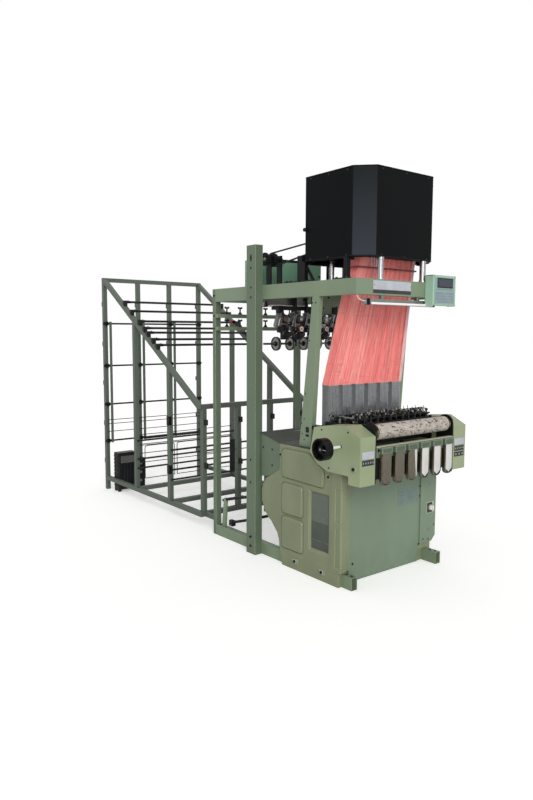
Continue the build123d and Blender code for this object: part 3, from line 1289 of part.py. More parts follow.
# Hooks on the tall posts point back, those on the short posts point forward. Clamps
# hold the ends of the rods above the diagonals, and one plate stands on the low rods.
with BuildPart() as creel_hooks:
    hook_x, hook_y, hook_z = HOOK_SIZE
    for x in CREEL_POST_X:
        middle = x + CREEL_BAR / 2
        for z in FAR_HOOK_Z:
            slab(
                (middle - hook_x / 2, middle + hook_x / 2),
                (CREEL_FAR_Y + CREEL_BAR, CREEL_FAR_Y + CREEL_BAR + hook_y),
                (z - hook_z / 2, z + hook_z / 2),
            )
    for shift in NEAR_POST_SHIFT:
        middle = CREEL_X[0] + shift + CREEL_BAR / 2
        for z in NEAR_HOOK_Z:
            slab(
                (middle - hook_x / 2, middle + hook_x / 2),
                (CREEL_NEAR_Y - hook_y, CREEL_NEAR_Y), (z - hook_z / 2, z + hook_z / 2),
            )
    for side_x in CREEL_SIDE_X:
        for y in DIAGONAL_ROD_Y:
            clamp_top = diagonal_z(y) + ROD_CLAMP_LIFT + ROD_CLAMP_HALF
            clamp_y = (y - ROD_CLAMP_HALF, y + ROD_CLAMP_HALF)
            profile(
                side_x,
                [
                    (clamp_y[0], diagonal_z(clamp_y[0]) + DIAGONAL_HALF),
                    (clamp_y[1], diagonal_z(clamp_y[1]) + DIAGONAL_HALF),
                    (clamp_y[1], clamp_top), (clamp_y[0], clamp_top),
                ],
            )
    slab(GUSSET_X, (UPRIGHT_Y[0], UPRIGHT_Y[0] + GUSSET_SHEET), GUSSET_Z)
save("creel_hooks", creel_hooks)

with BuildPart() as stop_motion_box:
    box_x, box_y, box_z = STOP_BOX_PLACE
    box_back_x = box_x + STOP_BOX_SIZE[0]
    box_back_y = box_y + STOP_BOX_SIZE[1]
    slab((box_x, box_back_x), (box_y, box_back_y), (box_z, box_z + STOP_BOX_SIZE[2]))
    for x in (box_x, box_back_x - STOP_FOOT):
        for y in (box_y, box_back_y - STOP_FOOT):
            slab((x, x + STOP_FOOT), (y, y + STOP_FOOT), (0, box_z))
save("stop_motion_box", stop_motion_box)
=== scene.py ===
"""Looks of a jacquard webbing loom and its yarn creel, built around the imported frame.

Sizes are in millimetres in the frame's own axes: X across the loom, Y from the weaver's
side to the creel, Z up from the floor. Meshes are scaled to metres when they are finished.
"""

import json
import logging
import math
import random
from dataclasses import dataclass
from enum import Enum

import bmesh
import bpy
from mathutils import Matrix, Vector


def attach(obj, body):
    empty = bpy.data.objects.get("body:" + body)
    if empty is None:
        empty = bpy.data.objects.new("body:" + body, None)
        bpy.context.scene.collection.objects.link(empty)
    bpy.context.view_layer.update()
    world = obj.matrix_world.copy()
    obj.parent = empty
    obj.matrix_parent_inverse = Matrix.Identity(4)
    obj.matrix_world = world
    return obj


logging.basicConfig(level=logging.INFO, format="%(message)s")
log = logging.getLogger("loom")
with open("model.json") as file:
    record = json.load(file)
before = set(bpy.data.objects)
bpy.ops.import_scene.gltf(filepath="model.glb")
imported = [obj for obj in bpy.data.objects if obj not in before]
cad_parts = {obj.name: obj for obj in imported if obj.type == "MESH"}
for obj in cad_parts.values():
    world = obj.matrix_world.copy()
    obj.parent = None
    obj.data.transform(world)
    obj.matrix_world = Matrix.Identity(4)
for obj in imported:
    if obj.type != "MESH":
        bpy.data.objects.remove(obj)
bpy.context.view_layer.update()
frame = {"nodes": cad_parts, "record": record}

MM = 0.001
SIDES = (-1, 1)
FRONT, LEFT, UP = (0.0, -1.0, 0.0), (-1.0, 0.0, 0.0), (0.0, 0.0, 1.0)
HEAD_PITCH = 125.0
HEADS = [HEAD_PITCH * (k - 2.5) for k in range(6)]
CREASE_DEGREES = 32
WELD_MM = 0.01
WASHER_SHARE = 1.45
WASHER_MM = 1.5
Pair = tuple[float, float]
Spot = tuple[float, float, float]
Tree = bpy.types.NodeTree
Socket = bpy.types.NodeSocket


def linear(hex_colour: str, shade: float = 1.0) -> tuple[float, float, float, float]:
    """Turn an sRGB hex colour into linear RGBA.

    Args:
        hex_colour: six hex digits, such as "7c8c72".
        shade: what the linear colour is multiplied by, 1 to leave it.

    Returns:
        The linear red, green, blue and an alpha of 1.
    """
    parts = [int(hex_colour[i:i + 2], 16) / 255 for i in (0, 2, 4)]
    curved = [p / 12.92 if p <= 0.04045 else ((p + 0.055) / 1.055) ** 2.4 for p in parts]
    red, green, blue = (min(1.0, shade * c) for c in curved)
    return red, green, blue, 1.0


def add_node(tree: Tree, kind: str, settings: dict | None = None,
             links: dict | None = None) -> bpy.types.Node:
    """Add a node with its settings and links.

    Args:
        tree: the node tree that gets it.
        kind: Blender's name for the node, after "ShaderNode".
        settings: values by input name, input number or attribute name.
        links: output sockets by the name or number of the input that they go to.

    Returns:
        The new node.
    """
    node = tree.nodes.new("ShaderNode" + kind)
    for key, value in (settings or {}).items():
        if isinstance(key, int) or key in node.inputs:
            node.inputs[key].default_value = value
        else:
            setattr(node, key, value)
    for key, source in (links or {}).items():
        tree.links.new(source, node.inputs[key])
    return node


@dataclass(frozen=True)
class Finish:
    """What all finishes share: a name, a colour, a gloss, and ways to mix a pattern."""

    name: str
    colour: str
    roughness: float = 0.4
    metallic: float = 0.0
    specular: float = 0.5

    def build(self) -> bpy.types.Material:
        """Make the material.

        Returns:
            A material with this finish's pattern on its shader.
        """
        material = bpy.data.materials.new(self.name)
        material.use_nodes = True
        tree = material.node_tree
        shader = tree.nodes["Principled BSDF"]
        shader.inputs["Base Color"].default_value = linear(self.colour)
        shader.inputs["Roughness"].default_value = self.roughness
        shader.inputs["Metallic"].default_value = self.metallic
        shader.inputs["Specular IOR Level"].default_value = self.specular
        self.pattern(tree, shader)
        return material

    def pattern(self, tree: Tree, shader: bpy.types.Node) -> None:
        """Add nothing here; each kind of finish adds its own pattern."""

    def ranged(self, tree: Tree, value: Socket, low: float, high: float,
               to: Pair = (0.0, 1.0)) -> Socket:
        """Stretch a range of values to another range.

        Args:
            tree: the node tree.
            value: the socket to stretch.
            low: the value that becomes the first of the new range.
            high: the value that becomes the second.
            to: the new range.

        Returns:
            The stretched value's socket.
        """
        settings = {"From Min": low, "From Max": high, "To Min": to[0], "To Max": to[1]}
        return add_node(tree, "MapRange", settings, {"Value": value}).outputs["Result"]

    def noise(self, tree: Tree, size_mm: Spot, low: float, high: float,
              detail: float = 3.0) -> Socket:
        """Add a cloudy pattern of a real size.

        Args:
            tree: the node tree.
            size_mm: how large one cloud is along X, Y and Z.
            low: the noise value that becomes 0.
            high: the noise value that becomes 1.
            detail: how many finer layers the noise has.

        Returns:
            The socket with values from 0 to 1.
        """
        place = add_node(tree, "TexCoord").outputs["Object"]
        scale = tuple(1 / (MM * s) for s in size_mm)
        mapped = add_node(tree, "Mapping", {"Scale": scale}, {"Vector": place})
        cloud = add_node(tree, "TexNoise", {"Scale": 1.0, "Detail": detail},
                         {"Vector": mapped.outputs["Vector"]})
        return self.ranged(tree, cloud.outputs["Fac"], low, high)

    def bands(self, tree: Tree, pitch_mm: float, way: str) -> Socket:
        """Add straight bands of a real pitch.

        Args:
            tree: the node tree.
            pitch_mm: how far apart they are.
            way: the axis across which they follow each other.

        Returns:
            The socket with values from 0 to 1.
        """
        place = add_node(tree, "TexCoord").outputs["Object"]
        # Blender's wave has 20 / 2 pi turns in a unit, so a pitch of 1 is a scale of 0.314.
        return add_node(tree, "TexWave", {"Scale": 0.314 / (pitch_mm * MM), "bands_direction": way},
                        {"Vector": place}).outputs["Fac"]

    def scaled(self, tree: Tree, value: Socket, by: float | Socket) -> Socket:
        """Multiply a value.

        Args:
            tree: the node tree.
            value: the socket to multiply.
            by: a number or another socket.

        Returns:
            The product's socket.
        """
        links = {0: value}
        settings = {"operation": "MULTIPLY"}
        (settings if isinstance(by, float) else links)[1] = by
        return add_node(tree, "Math", settings, links).outputs[0]

    def mixed(self, tree: Tree, factor: Socket, under: Socket | tuple, over: tuple) -> Socket:
        """Mix a colour over another.

        Args:
            tree: the node tree.
            factor: how much of the upper colour shows, 0 to 1.
            under: the lower colour, as a socket or as RGBA.
            over: the upper colour as RGBA.

        Returns:
            The mixed colour's socket.
        """
        settings = {"data_type": "RGBA", 7: over}
        links = {0: factor}
        (settings if isinstance(under, tuple) else links)[6] = under
        return add_node(tree, "Mix", settings, links).outputs[2]

    def raised(self, tree: Tree, shader: bpy.types.Node, height: Socket, depth_mm: float,
               strength: float) -> bpy.types.Node:
        """Raise the surface by a pattern.

        Args:
            tree: the node tree.
            shader: the shader that gets the bent normal.
            height: the pattern, 0 to 1.
            depth_mm: how high 1 stands.
            strength: how much of it is used.

        Returns:
            The bump node, whose own normal may be set further.
        """
        bump = add_node(tree, "Bump", {"Strength": strength, "Distance": depth_mm * MM},
                        {"Height": height})
        tree.links.new(bump.outputs["Normal"], shader.inputs["Normal"])
        return bump


@dataclass(frozen=True)
class Enamel(Finish):
    """Enamel or powder coat on cast iron, sheet steel or tube.

    It has an even low gloss with a slight orange peel. Years in a mill give it cloudy dust,
    small dark specks and oily grime low down. Its edges are lightened, partly by paint rubbed
    thin and partly by a painted highlight along them. Some finishes add a painted reflection
    that turns lighter downwards.
    """

    # The edge colour stands for rubbed paint and for a painted highlight along the edges.
    edge: str = "aeb898"
    edge_wear: float = 0.35
    patch_mm: float = 240.0
    patch_depth: float = 0.08
    grime: str = "4a4638"
    grime_top_mm: float = 240.0
    grime_share: float = 0.22
    dirt_mm: Spot = (60.0, 60.0, 90.0)
    specks: float = 0.25
    # Painted reflection: a lighter colour that the tone turns to from the first height to the
    # second; empty for none.
    fade: str = ""
    fade_mm: Pair = (2650.0, 2133.0)
    # Specks of lint and oil are about 3 mm across and are drawn at 9 mm, which still shows.
    speck_mm: Spot = (9.0, 9.0, 9.0)
    # Paint thins over about 3 mm at an edge; 5 mm is drawn so that it shows at this size. The pale
    # edge band is partly this wear and partly a painted highlight.
    edge_mm: float = 5.0
    # Orange peel is a ripple of about 2 mm, drawn at 5 mm.
    peel_mm: Spot = (5.0, 5.0, 5.0)

    def pattern(self, tree: Tree, shader: bpy.types.Node) -> None:
        """Add dust, specks, grime, pale edges that are partly rubbed paint and partly painted
        highlight, the painted reflection where one is set, and orange peel.

        Args:
            tree: the material's nodes.
            shader: its shader.
        """
        patch, depth = self.patch_mm, self.patch_depth
        clouds = self.noise(tree, (patch, patch, patch * 1.6), 0.3, 0.7, 5.0)
        tone = self.mixed(tree, clouds, linear(self.colour, 1 - depth),
                          linear(self.colour, 1 + depth))
        specks = self.noise(tree, self.speck_mm, 0.66, 0.74, 2.0)
        tone = self.mixed(tree, self.scaled(tree, specks, self.specks), tone, linear(self.grime))
        place = add_node(tree, "TexCoord").outputs["Object"]
        height = add_node(tree, "SeparateXYZ", None, {"Vector": place}).outputs["Z"]
        # Painted reflection: the tone turns lighter towards the bottom of the span.
        if self.fade:
            start, end = self.fade_mm
            share = self.ranged(tree, height, start * MM, end * MM)
            tone = self.mixed(tree, share, tone, linear(self.fade))
        low = self.ranged(tree, height, 0.0, self.grime_top_mm * MM, (self.grime_share, 0.0))
        dirt = self.noise(tree, self.dirt_mm, 0.35, 0.75, 4.0)
        tone = self.mixed(tree, self.scaled(tree, low, dirt), tone, linear(self.grime))
        bevel = add_node(tree, "Bevel", {"samples": 4, "Radius": self.edge_mm * MM})
        flat = add_node(tree, "NewGeometry").outputs["Normal"]
        turn = add_node(tree, "VectorMath", {"operation": "DOT_PRODUCT"},
                        {0: bevel.outputs["Normal"], 1: flat}).outputs["Value"]
        # Edges lightened towards the edge colour: partly rubbed paint, partly a painted highlight.
        rubbed = self.ranged(tree, turn, 0.995, 0.86, (0.0, self.edge_wear))
        tone = self.mixed(tree, rubbed, tone, linear(self.edge))
        tree.links.new(tone, shader.inputs["Base Color"])
        gloss = (self.roughness - 0.06, self.roughness + 0.1)
        tree.links.new(self.ranged(tree, clouds, 0.0, 1.0, gloss), shader.inputs["Roughness"])
        peel = self.noise(tree, self.peel_mm, 0.2, 0.8, 1.0)
        bump = self.raised(tree, shader, peel, 0.15, 0.25)
        tree.links.new(bevel.outputs["Normal"], bump.inputs["Normal"])


@dataclass(frozen=True)
class Metal(Finish):
    """Bare metal, ground, drawn or plated: its grain runs one way and oil stains it darker."""

    metallic: float = 1.0
    grain_mm: Spot = (6.0, 6.0, 60.0)
    stain: str = "4c463c"
    stain_share: float = 0.3
    stain_mm: Spot = (22.0, 22.0, 22.0)

    def pattern(self, tree: Tree, shader: bpy.types.Node) -> None:
        """Add the grain and the stains.

        Args:
            tree: the material's nodes.
            shader: its shader.
        """
        grain = self.noise(tree, self.grain_mm, 0.25, 0.75)
        tone = self.mixed(tree, grain, linear(self.colour, 0.8), linear(self.colour, 1.1))
        stains = self.scaled(tree, self.noise(tree, self.stain_mm, 0.5, 0.75), self.stain_share)
        tone = self.mixed(tree, stains, tone, linear(self.stain))
        tree.links.new(tone, shader.inputs["Base Color"])
        gloss = (max(0.05, self.roughness - 0.08), self.roughness + 0.12)
        tree.links.new(self.ranged(tree, grain, 0.0, 1.0, gloss), shader.inputs["Roughness"])
        self.raised(tree, shader, grain, 0.05, 0.3)


@dataclass(frozen=True)
class Plastic(Finish):
    """Moulded plastic, rubber, glass or glaze: an even colour, a fine grain and a little dust."""

    dust: str = "8a8c88"
    dust_share: float = 0.15
    dust_mm: Spot = (30.0, 30.0, 30.0)
    # The mould's grain is 0.3 mm, drawn at 2 mm so that it catches light here.
    grain_mm: Spot = (2.0, 2.0, 2.0)

    def pattern(self, tree: Tree, shader: bpy.types.Node) -> None:
        """Add dust and the mould's grain.

        Args:
            tree: the material's nodes.
            shader: its shader.
        """
        clouds = self.noise(tree, self.dust_mm, 0.45, 0.8, 5.0)
        tone = self.mixed(tree, self.scaled(tree, clouds, self.dust_share), linear(self.colour),
                          linear(self.dust))
        tree.links.new(tone, shader.inputs["Base Color"])
        self.raised(tree, shader, self.noise(tree, self.grain_mm, 0.2, 0.8, 1.0), 0.1, 0.3)


@dataclass(frozen=True)
class Cords(Finish):
    """Twisted harness cord, waxed: hundreds side by side read as fine lengthwise stripes, with
    painted shade in broad folds and crosswise waves.
    """

    # The colour of the painted shade in folds and crosswise waves.
    dark: str = "bc5a58"
    light: str = "ffa49e"
    # One cord is 0.8 mm; a stripe stands for a group of cords so that it shows.
    stripe_mm: Spot = (9.0, 18.0, 700.0)
    crease_mm: Spot = (45.0, 90.0, 900.0)
    creases: float = 0.3
    ripple_mm: Spot = (110.0, 110.0, 9.0)
    ripples: float = 0.3

    def pattern(self, tree: Tree, shader: bpy.types.Node) -> None:
        """Add lengthwise stripes, and painted shade in broad folds and crosswise waves.

        Args:
            tree: the material's nodes.
            shader: its shader.
        """
        stripe = self.noise(tree, self.stripe_mm, 0.32, 0.68, 4.0)
        crease_shade_mask = self.noise(tree, self.crease_mm, 0.45, 0.7, 2.0)
        ripple_shade_mask = self.noise(tree, self.ripple_mm, 0.58, 0.72, 2.0)
        tone = self.mixed(tree, stripe, linear(self.colour, 0.92), linear(self.light))
        # Painted shade: the folds and waves are darkened towards the dark colour.
        for shade, share in ((crease_shade_mask, self.creases), (ripple_shade_mask, self.ripples)):
            tone = self.mixed(tree, self.scaled(tree, shade, share), tone, linear(self.dark))
        tree.links.new(tone, shader.inputs["Base Color"])
        self.raised(tree, shader, stripe, 1.0, 0.3)


@dataclass(frozen=True)
class Weave(Finish):
    """Woven webbing: warp ribs lengthwise crossed by the weft, soft and without gloss."""

    # Ribs are 1.2 mm apart in the webbing and are drawn 4 mm apart so that they show.
    rib_mm: float = 4.0
    soil: str = "8c8a80"
    soil_mm: Spot = (40.0, 40.0, 70.0)

    def pattern(self, tree: Tree, shader: bpy.types.Node) -> None:
        """Add ribs, picks and a little soil.

        Args:
            tree: the material's nodes.
            shader: its shader.
        """
        ribs, picks = (self.bands(tree, self.rib_mm, way) for way in "XZ")
        cloth = self.scaled(tree, ribs, picks)
        tone = self.mixed(tree, cloth, linear(self.colour, 0.8), linear(self.colour, 1.05))
        soil = self.scaled(tree, self.noise(tree, self.soil_mm, 0.5, 0.8), 0.25)
        tone = self.mixed(tree, soil, tone, linear(self.soil))
        tree.links.new(tone, shader.inputs["Base Color"])
        self.raised(tree, shader, cloth, 0.4, 0.5)


@dataclass(frozen=True)
class Printed(Finish):
    """Cloth printed in one dark ink, worn to broken flecks and stained."""

    ink: str = "26211f"
    fleck_mm: Spot = (16.0, 9.0, 7.0)
    row_mm: Spot = (55.0, 26.0, 26.0)
    cover: float = 0.52
    stain: str = "8a7a6e"
    stain_mm: Spot = (60.0, 30.0, 30.0)

    def pattern(self, tree: Tree, shader: bpy.types.Node) -> None:
        """Add flecks of ink in loose rows, and a warm stain.

        Args:
            tree: the material's nodes.
            shader: its shader.
        """
        stain = self.scaled(tree, self.noise(tree, self.stain_mm, 0.35, 0.75, 4.0), 0.55)
        tone = self.mixed(tree, stain, linear(self.colour), linear(self.stain))
        rows = self.noise(tree, self.row_mm, 0.44, 0.54, 2.0)
        flecks = self.noise(tree, self.fleck_mm, self.cover, self.cover + 0.06, 5.0)
        tone = self.mixed(tree, self.scaled(tree, flecks, rows), tone, linear(self.ink))
        tree.links.new(tone, shader.inputs["Base Color"])
        self.raised(tree, shader, flecks, 0.1, 0.2)


@dataclass(frozen=True)
class Ruled(Finish):
    """A plate or label with plain ruled rows and nothing else on it."""

    line: str = "39423c"
    row_mm: float = 15.0
    share: float = 0.35
    rub_mm: Spot = (40.0, 40.0, 20.0)
    cloud_mm: Spot = (70.0, 70.0, 70.0)

    def pattern(self, tree: Tree, shader: bpy.types.Node) -> None:
        """Add the ruled rows and rub them unevenly.

        Args:
            tree: the material's nodes.
            shader: its shader.
        """
        thin = self.ranged(tree, self.bands(tree, self.row_mm, "Z"), 0.55, 0.9)
        rubbed = self.scaled(tree, self.noise(tree, self.rub_mm, 0.3, 0.6), self.share)
        clouds = self.noise(tree, self.cloud_mm, 0.3, 0.7)
        tone = self.mixed(tree, clouds, linear(self.colour, 0.88), linear(self.colour, 1.1))
        tone = self.mixed(tree, self.scaled(tree, thin, rubbed), tone, linear(self.line))
        tree.links.new(tone, shader.inputs["Base Color"])


class Look(Enum):
    """The finishes of the loom; those named as the record's slots dress the frame."""

    # Sprayed on degreased steel: an even low gloss, cloudy with dust, pale along edges where hands
    # rub it and where a highlight is painted.
    FRAME_GREEN = Enamel("enamel_sprayed_sage", "78886f", 0.42, edge="a4b097")
    # The frame paint with painted shade: a darker copy of the frame green, more specked, its
    # corners lightened to a pale line that is partly wear and partly a painted highlight.
    POST_GREEN = Enamel("enamel_sprayed_sage_painted_shade", "5e6d59", 0.45, edge="b4c2a8",
                        edge_wear=0.9, specks=0.4)
    # Brushed on a sand casting: patchy tone, soft ridges with a painted highlight and some rubbed
    # paint, oily low down.
    CASTING_GREEN = Enamel("enamel_brushed_olive_on_cast_iron", "7b8366", 0.45, edge="b0b78e",
                           edge_wear=0.9, patch_depth=0.11, specks=0.4)
    # The same paint, darker and dull: a painted shadow along the edges of the casting's raised
    # pads.
    CASTING_SHADE = Enamel("enamel_olive_painted_pad_shadow", "646b50", 0.55, edge="7b8366")
    # Sprayed on a machined housing: the cleanest and lightest of the greens.
    HOUSING_GREEN = Enamel("enamel_sprayed_olive_on_aluminium", "939f7c", 0.4, edge="b6bf94",
                           edge_wear=0.5)
    # Sprayed on a large sheet: cooler green, in broad faint clouds.
    PANEL_MINT = Enamel("enamel_sprayed_mint_on_sheet", "72846f", 0.4, edge="98aa92",
                        patch_mm=420.0)
    # Powder coat baked on folded sheet: light, even and nearly spotless.
    BOX_MINT = Enamel("powder_coat_light_mint", "a2c4ad", 0.4, edge="b8d4bc", specks=0.1)
    # Sprayed on welded square tube: deep green, specked with lint.
    CREEL_GREEN = Enamel("enamel_sprayed_deep_green", "515b50", 0.5, edge="8a9a88", specks=0.4)
    # Sprayed on the sheet under the heads: nearly black, dulled by lint and oil.
    COVER_GREY = Enamel("enamel_sprayed_dark_grey", "363a33", 0.55, 0.0, 0.25, edge="6c7468",
                        specks=0.5)
    # Satin powder coat: a deep black with hardly a highlight, and a faint painted highlight line on
    # its folds.
    HEAD_BLACK = Enamel("powder_coat_satin_black", "0b0d0e", 0.5, 0.0, 0.06, edge="2a2e33",
                        edge_wear=0.5, patch_depth=0.2, grime="1c1e20", specks=0.1)
    # The same coat on the cut corners with a painted reflection of the room: a lighter blue-black
    # base that turns lighter still downwards.
    HEAD_CORNER = Enamel("powder_coat_black_painted_reflection", "13181a", 0.4, 0.0, 0.08, edge="343940",
                         grime="1c1e20", specks=0.1, fade="30343c")
    # Stoved enamel on brackets: black, with edges greyed by wear and by a painted highlight.
    BRACKET_BLACK = Enamel("stove_enamel_black", "121314", 0.42, 0.0, 0.15, edge="3c3f40",
                           grime="3a3834")
    # Sprayed on the switchgear's sheet box: a stronger, bluer green.
    EBOX_GREEN = Enamel("enamel_sprayed_mid_green", "74a686", 0.45, edge="8fb49a")
    # Hammered paint on small motors: black with a broken sheen and bright edges, partly rubbed and
    # partly a painted highlight.
    FEEDER_BLACK = Enamel("paint_hammered_black", "181a1b", 0.38, 0.0, 0.2, edge="62666a",
                          grime="4a463e", specks=0.4)
    # Moulded and polished by hands: a smooth glossy black.
    WHEEL_BLACK = Plastic("phenolic_moulded_black", "0a0a0b", 0.25, 0.0, 0.12, dust_share=0.04)
    # Moulded knobs, caps and screw heads: black, a little dusty.
    MOULDED = Plastic("phenolic_moulded_black_parts", "0f0f10", 0.3, 0.0, 0.15, dust_share=0.1)
    # A printed cotton cover gone grey: cream with broken dark print and brown stains.
    ROLLER_CREAM = Printed("cotton_cover_printed", "bfb8ae", 0.6, fleck_mm=(19.0, 10.0, 8.0),
                           cover=0.5)
    # Ground mild steel under an oil film: grey, finely lined, stained brown in places.
    STEEL = Metal("mild_steel_ground", "8c8b86", 0.35)
    # Polished plate: sharp bright reflections with a few dull stains.
    CHROME = Metal("chrome_plate_polished", "a6a8aa", 0.16, stain_share=0.25)
    # Oiled mechanism: dark metal, nearly black where the oil has dried.
    MECHANISM = Metal("steel_oiled_dark", "4b4c4e", 0.38, stain="191817", stain_share=0.7)
    # Hundreds of drawn wires: a soft grey sheet, streaked from top to bottom.
    HEDDLE_STEEL = Metal("heddle_wire_drawn", "9b9ea0", 0.4, 0.5, grain_mm=(5.0, 7.0, 900.0),
                         stain="4c4c4e", stain_share=0.35)
    # Extruded and anodised: a satin grey, lined along its length.
    LAMP_GREY = Metal("aluminium_anodised", "8f918e", 0.4, grain_mm=(90.0, 5.0, 5.0))
    # Chemically blackened bar: black with a slight metal sheen along it.
    ROD_BLACK = Metal("steel_bar_blackened", "1f2221", 0.42, 0.3, 0.3, grain_mm=(60.0, 8.0, 8.0))
    # Bare steel polished by the webs that slide on it, browned by their size.
    CHUTE_BROWN = Metal("steel_chute_worn_brown", "6c675a", 0.45, 0.5, stain="4a4238",
                        stain_share=0.5, grain_mm=(9.0, 9.0, 90.0))
    # Drawn strip left to tarnish: a dull yellow edge.
    BRASS = Metal("brass_drawn_tarnished", "a89a6a", 0.35, stain="5a4c30")
    # Vulcanised belt: matt black, greyed by dust.
    BELT_BLACK = Plastic("belt_rubber_moulded", "161616", 0.6, dust_share=0.25)
    # Moulded nylon knob: clean off-white.
    KNOB_WHITE = Plastic("nylon_moulded_white", "e8e8e2", 0.35, dust_share=0.1)
    # The same nylon gone cream with oil and age.
    RAIL_CREAM = Plastic("nylon_rail_cream", "b9b49e", 0.4)
    # Opal coated tube, unlit: bright and smooth.
    TUBE_WHITE = Plastic("lamp_tube_opal_glass", "f4f4f2", 0.12, dust_share=0.05)
    # Dark glass over a display: a smooth blue-black with a dust veil.
    SCREEN = Plastic("screen_glass_dark", "272d3a", 0.08, dust="4a4658", dust_share=0.3)
    # Embossed membrane keys: a flat lilac grey.
    KEY_LILAC = Plastic("membrane_key_lilac_grey", "848a9e", 0.45)
    # The membrane round the keys: a flat green grey.
    PANEL_GREY = Plastic("membrane_panel_green_grey", "86a39a", 0.5)
    # Glazed eye: glossy white.
    CERAMIC = Plastic("ceramic_glazed_white", "f0ece6", 0.1, dust_share=0.05)
    # Moulded brake rings and clamps: a clear red.
    RED = Plastic("plastic_moulded_red", "b0322e", 0.35, dust_share=0.1)
    # Varnished laminate: dark red with a dusty top.
    COMBER = Plastic("comber_board_varnished_dark_red", "6e2426", 0.4, dust_share=0.2)
    # Laminated film: a plain black plate.
    LABEL_BLACK = Plastic("film_label_black", "1b1e20", 0.3)
    # Blank counter windows: small grey fields.
    DIGIT_WHITE = Plastic("counter_window_grey", "9a9d9a", 0.3)
    # Printed plates, ruled in faint rows with their print rubbed thin.
    CHART = Ruled("aluminium_plate_printed_grey", "5f695d", 0.4, 0.1)
    CHART_DARK = Ruled("aluminium_plate_dark", "475045", 0.4, 0.1, row_mm=60.0, share=0.1)
    # Laminated paper labels, bare but for faint rows: one close to the panel, one pale.
    CHART_BLUE = Ruled("film_label_blue_grey", "6d8079", 0.4, line="52645e", row_mm=24.0)
    LABEL_PALE = Ruled("film_label_pale", "b4b8bf", 0.35, line="a4a9b4", row_mm=18.0, share=0.2)
    # Woven polyester: matt white, ribbed lengthwise, a little soiled.
    TAPE_WHITE = Weave("webbing_woven_polyester", "dcdcd8", 0.8, 0.0, 0.2)
    # Spun yarn laid side by side: matt off-white.
    YARN = Weave("warp_yarn_white", "e2dfda", 0.8, 0.0, 0.2, rib_mm=3.0)
    # Twisted, waxed cord in a thick sheaf: salmon pink in fine stripes, with painted shade in its
    # folds.
    HARNESS_PINK = Cords("harness_cord_twisted_pink", "ff918d", 0.75, 0.0, 0.3)
    # The selvedge's cord, undyed: pale, with a violet shade.
    CORD_PALE = Cords("harness_cord_pale", "d8cdd4", 0.75, 0.0, 0.3, dark="9a8fa6",
                      light="f2eef2", ripples=0.1)
    # Lit and shaded copies of the pink cord, so that the sheaf isn't one tone: a painted highlight
    # on some cords and painted shade on others.
    CORD_LIGHT = Cords("harness_cord_painted_highlight", "ffa29c", 0.75, 0.0, 0.3, dark="d87672",
                       light="ffc4bc", ripples=0.1)
    CORD_DARK = Cords("harness_cord_painted_shade", "ea7a76", 0.75, 0.0, 0.3, dark="a84a4a",
                      light="ee8680", ripples=0.2)


class Body(Enum):
    """The frame's bodies that pieces ride on."""

    STAND = "stand"
    WHEEL = "wheel"
    ROLLER = "roller"
    DRIVE = "drive"
    FEED = "feed"


MATERIALS: dict[Look, bpy.types.Material] = {}


def material_of(look: Look) -> bpy.types.Material:
    """Give the material of a finish, made once.

    Args:
        look: the finish.

    Returns:
        Its material.
    """
    if look not in MATERIALS:
        MATERIALS[look] = look.value.build()
    return MATERIALS[look]


def hand_over(data: bpy.types.Mesh, body: Body) -> bpy.types.Object:
    """Args:
        data: the mesh, named as the piece, with its place in it.
        body: the body that it rides on.

    Returns:
        The object, at the origin.
    """
    obj = bpy.data.objects.new(data.name, data)
    bpy.context.scene.collection.objects.link(obj)
    data.shade_smooth()
    data.set_sharp_from_angle(angle=math.radians(CREASE_DEGREES))
    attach(obj, body.value)
    log.info("%s: %d faces on %s", obj.name, len(data.polygons), body.value)
    return obj


def bevel_edges(shape: bmesh.types.BMesh, edges: list[bmesh.types.BMEdge], width: float,
                segments: int) -> None:
    """Take off edges of a shape.

    Args:
        shape: the shape.
        edges: those of its edges that are taken off.
        width: how much is taken off.
        segments: how many steps the bevel has.
    """
    bmesh.ops.bevel(shape, geom=edges, offset=width, affect="EDGES", segments=segments,
                    profile=0.5, material=-1)


def new_verts(made: list) -> list[bmesh.types.BMVert]:
    """Give the vertices among what an operator has made."""
    return [v for v in made if isinstance(v, bmesh.types.BMVert)]


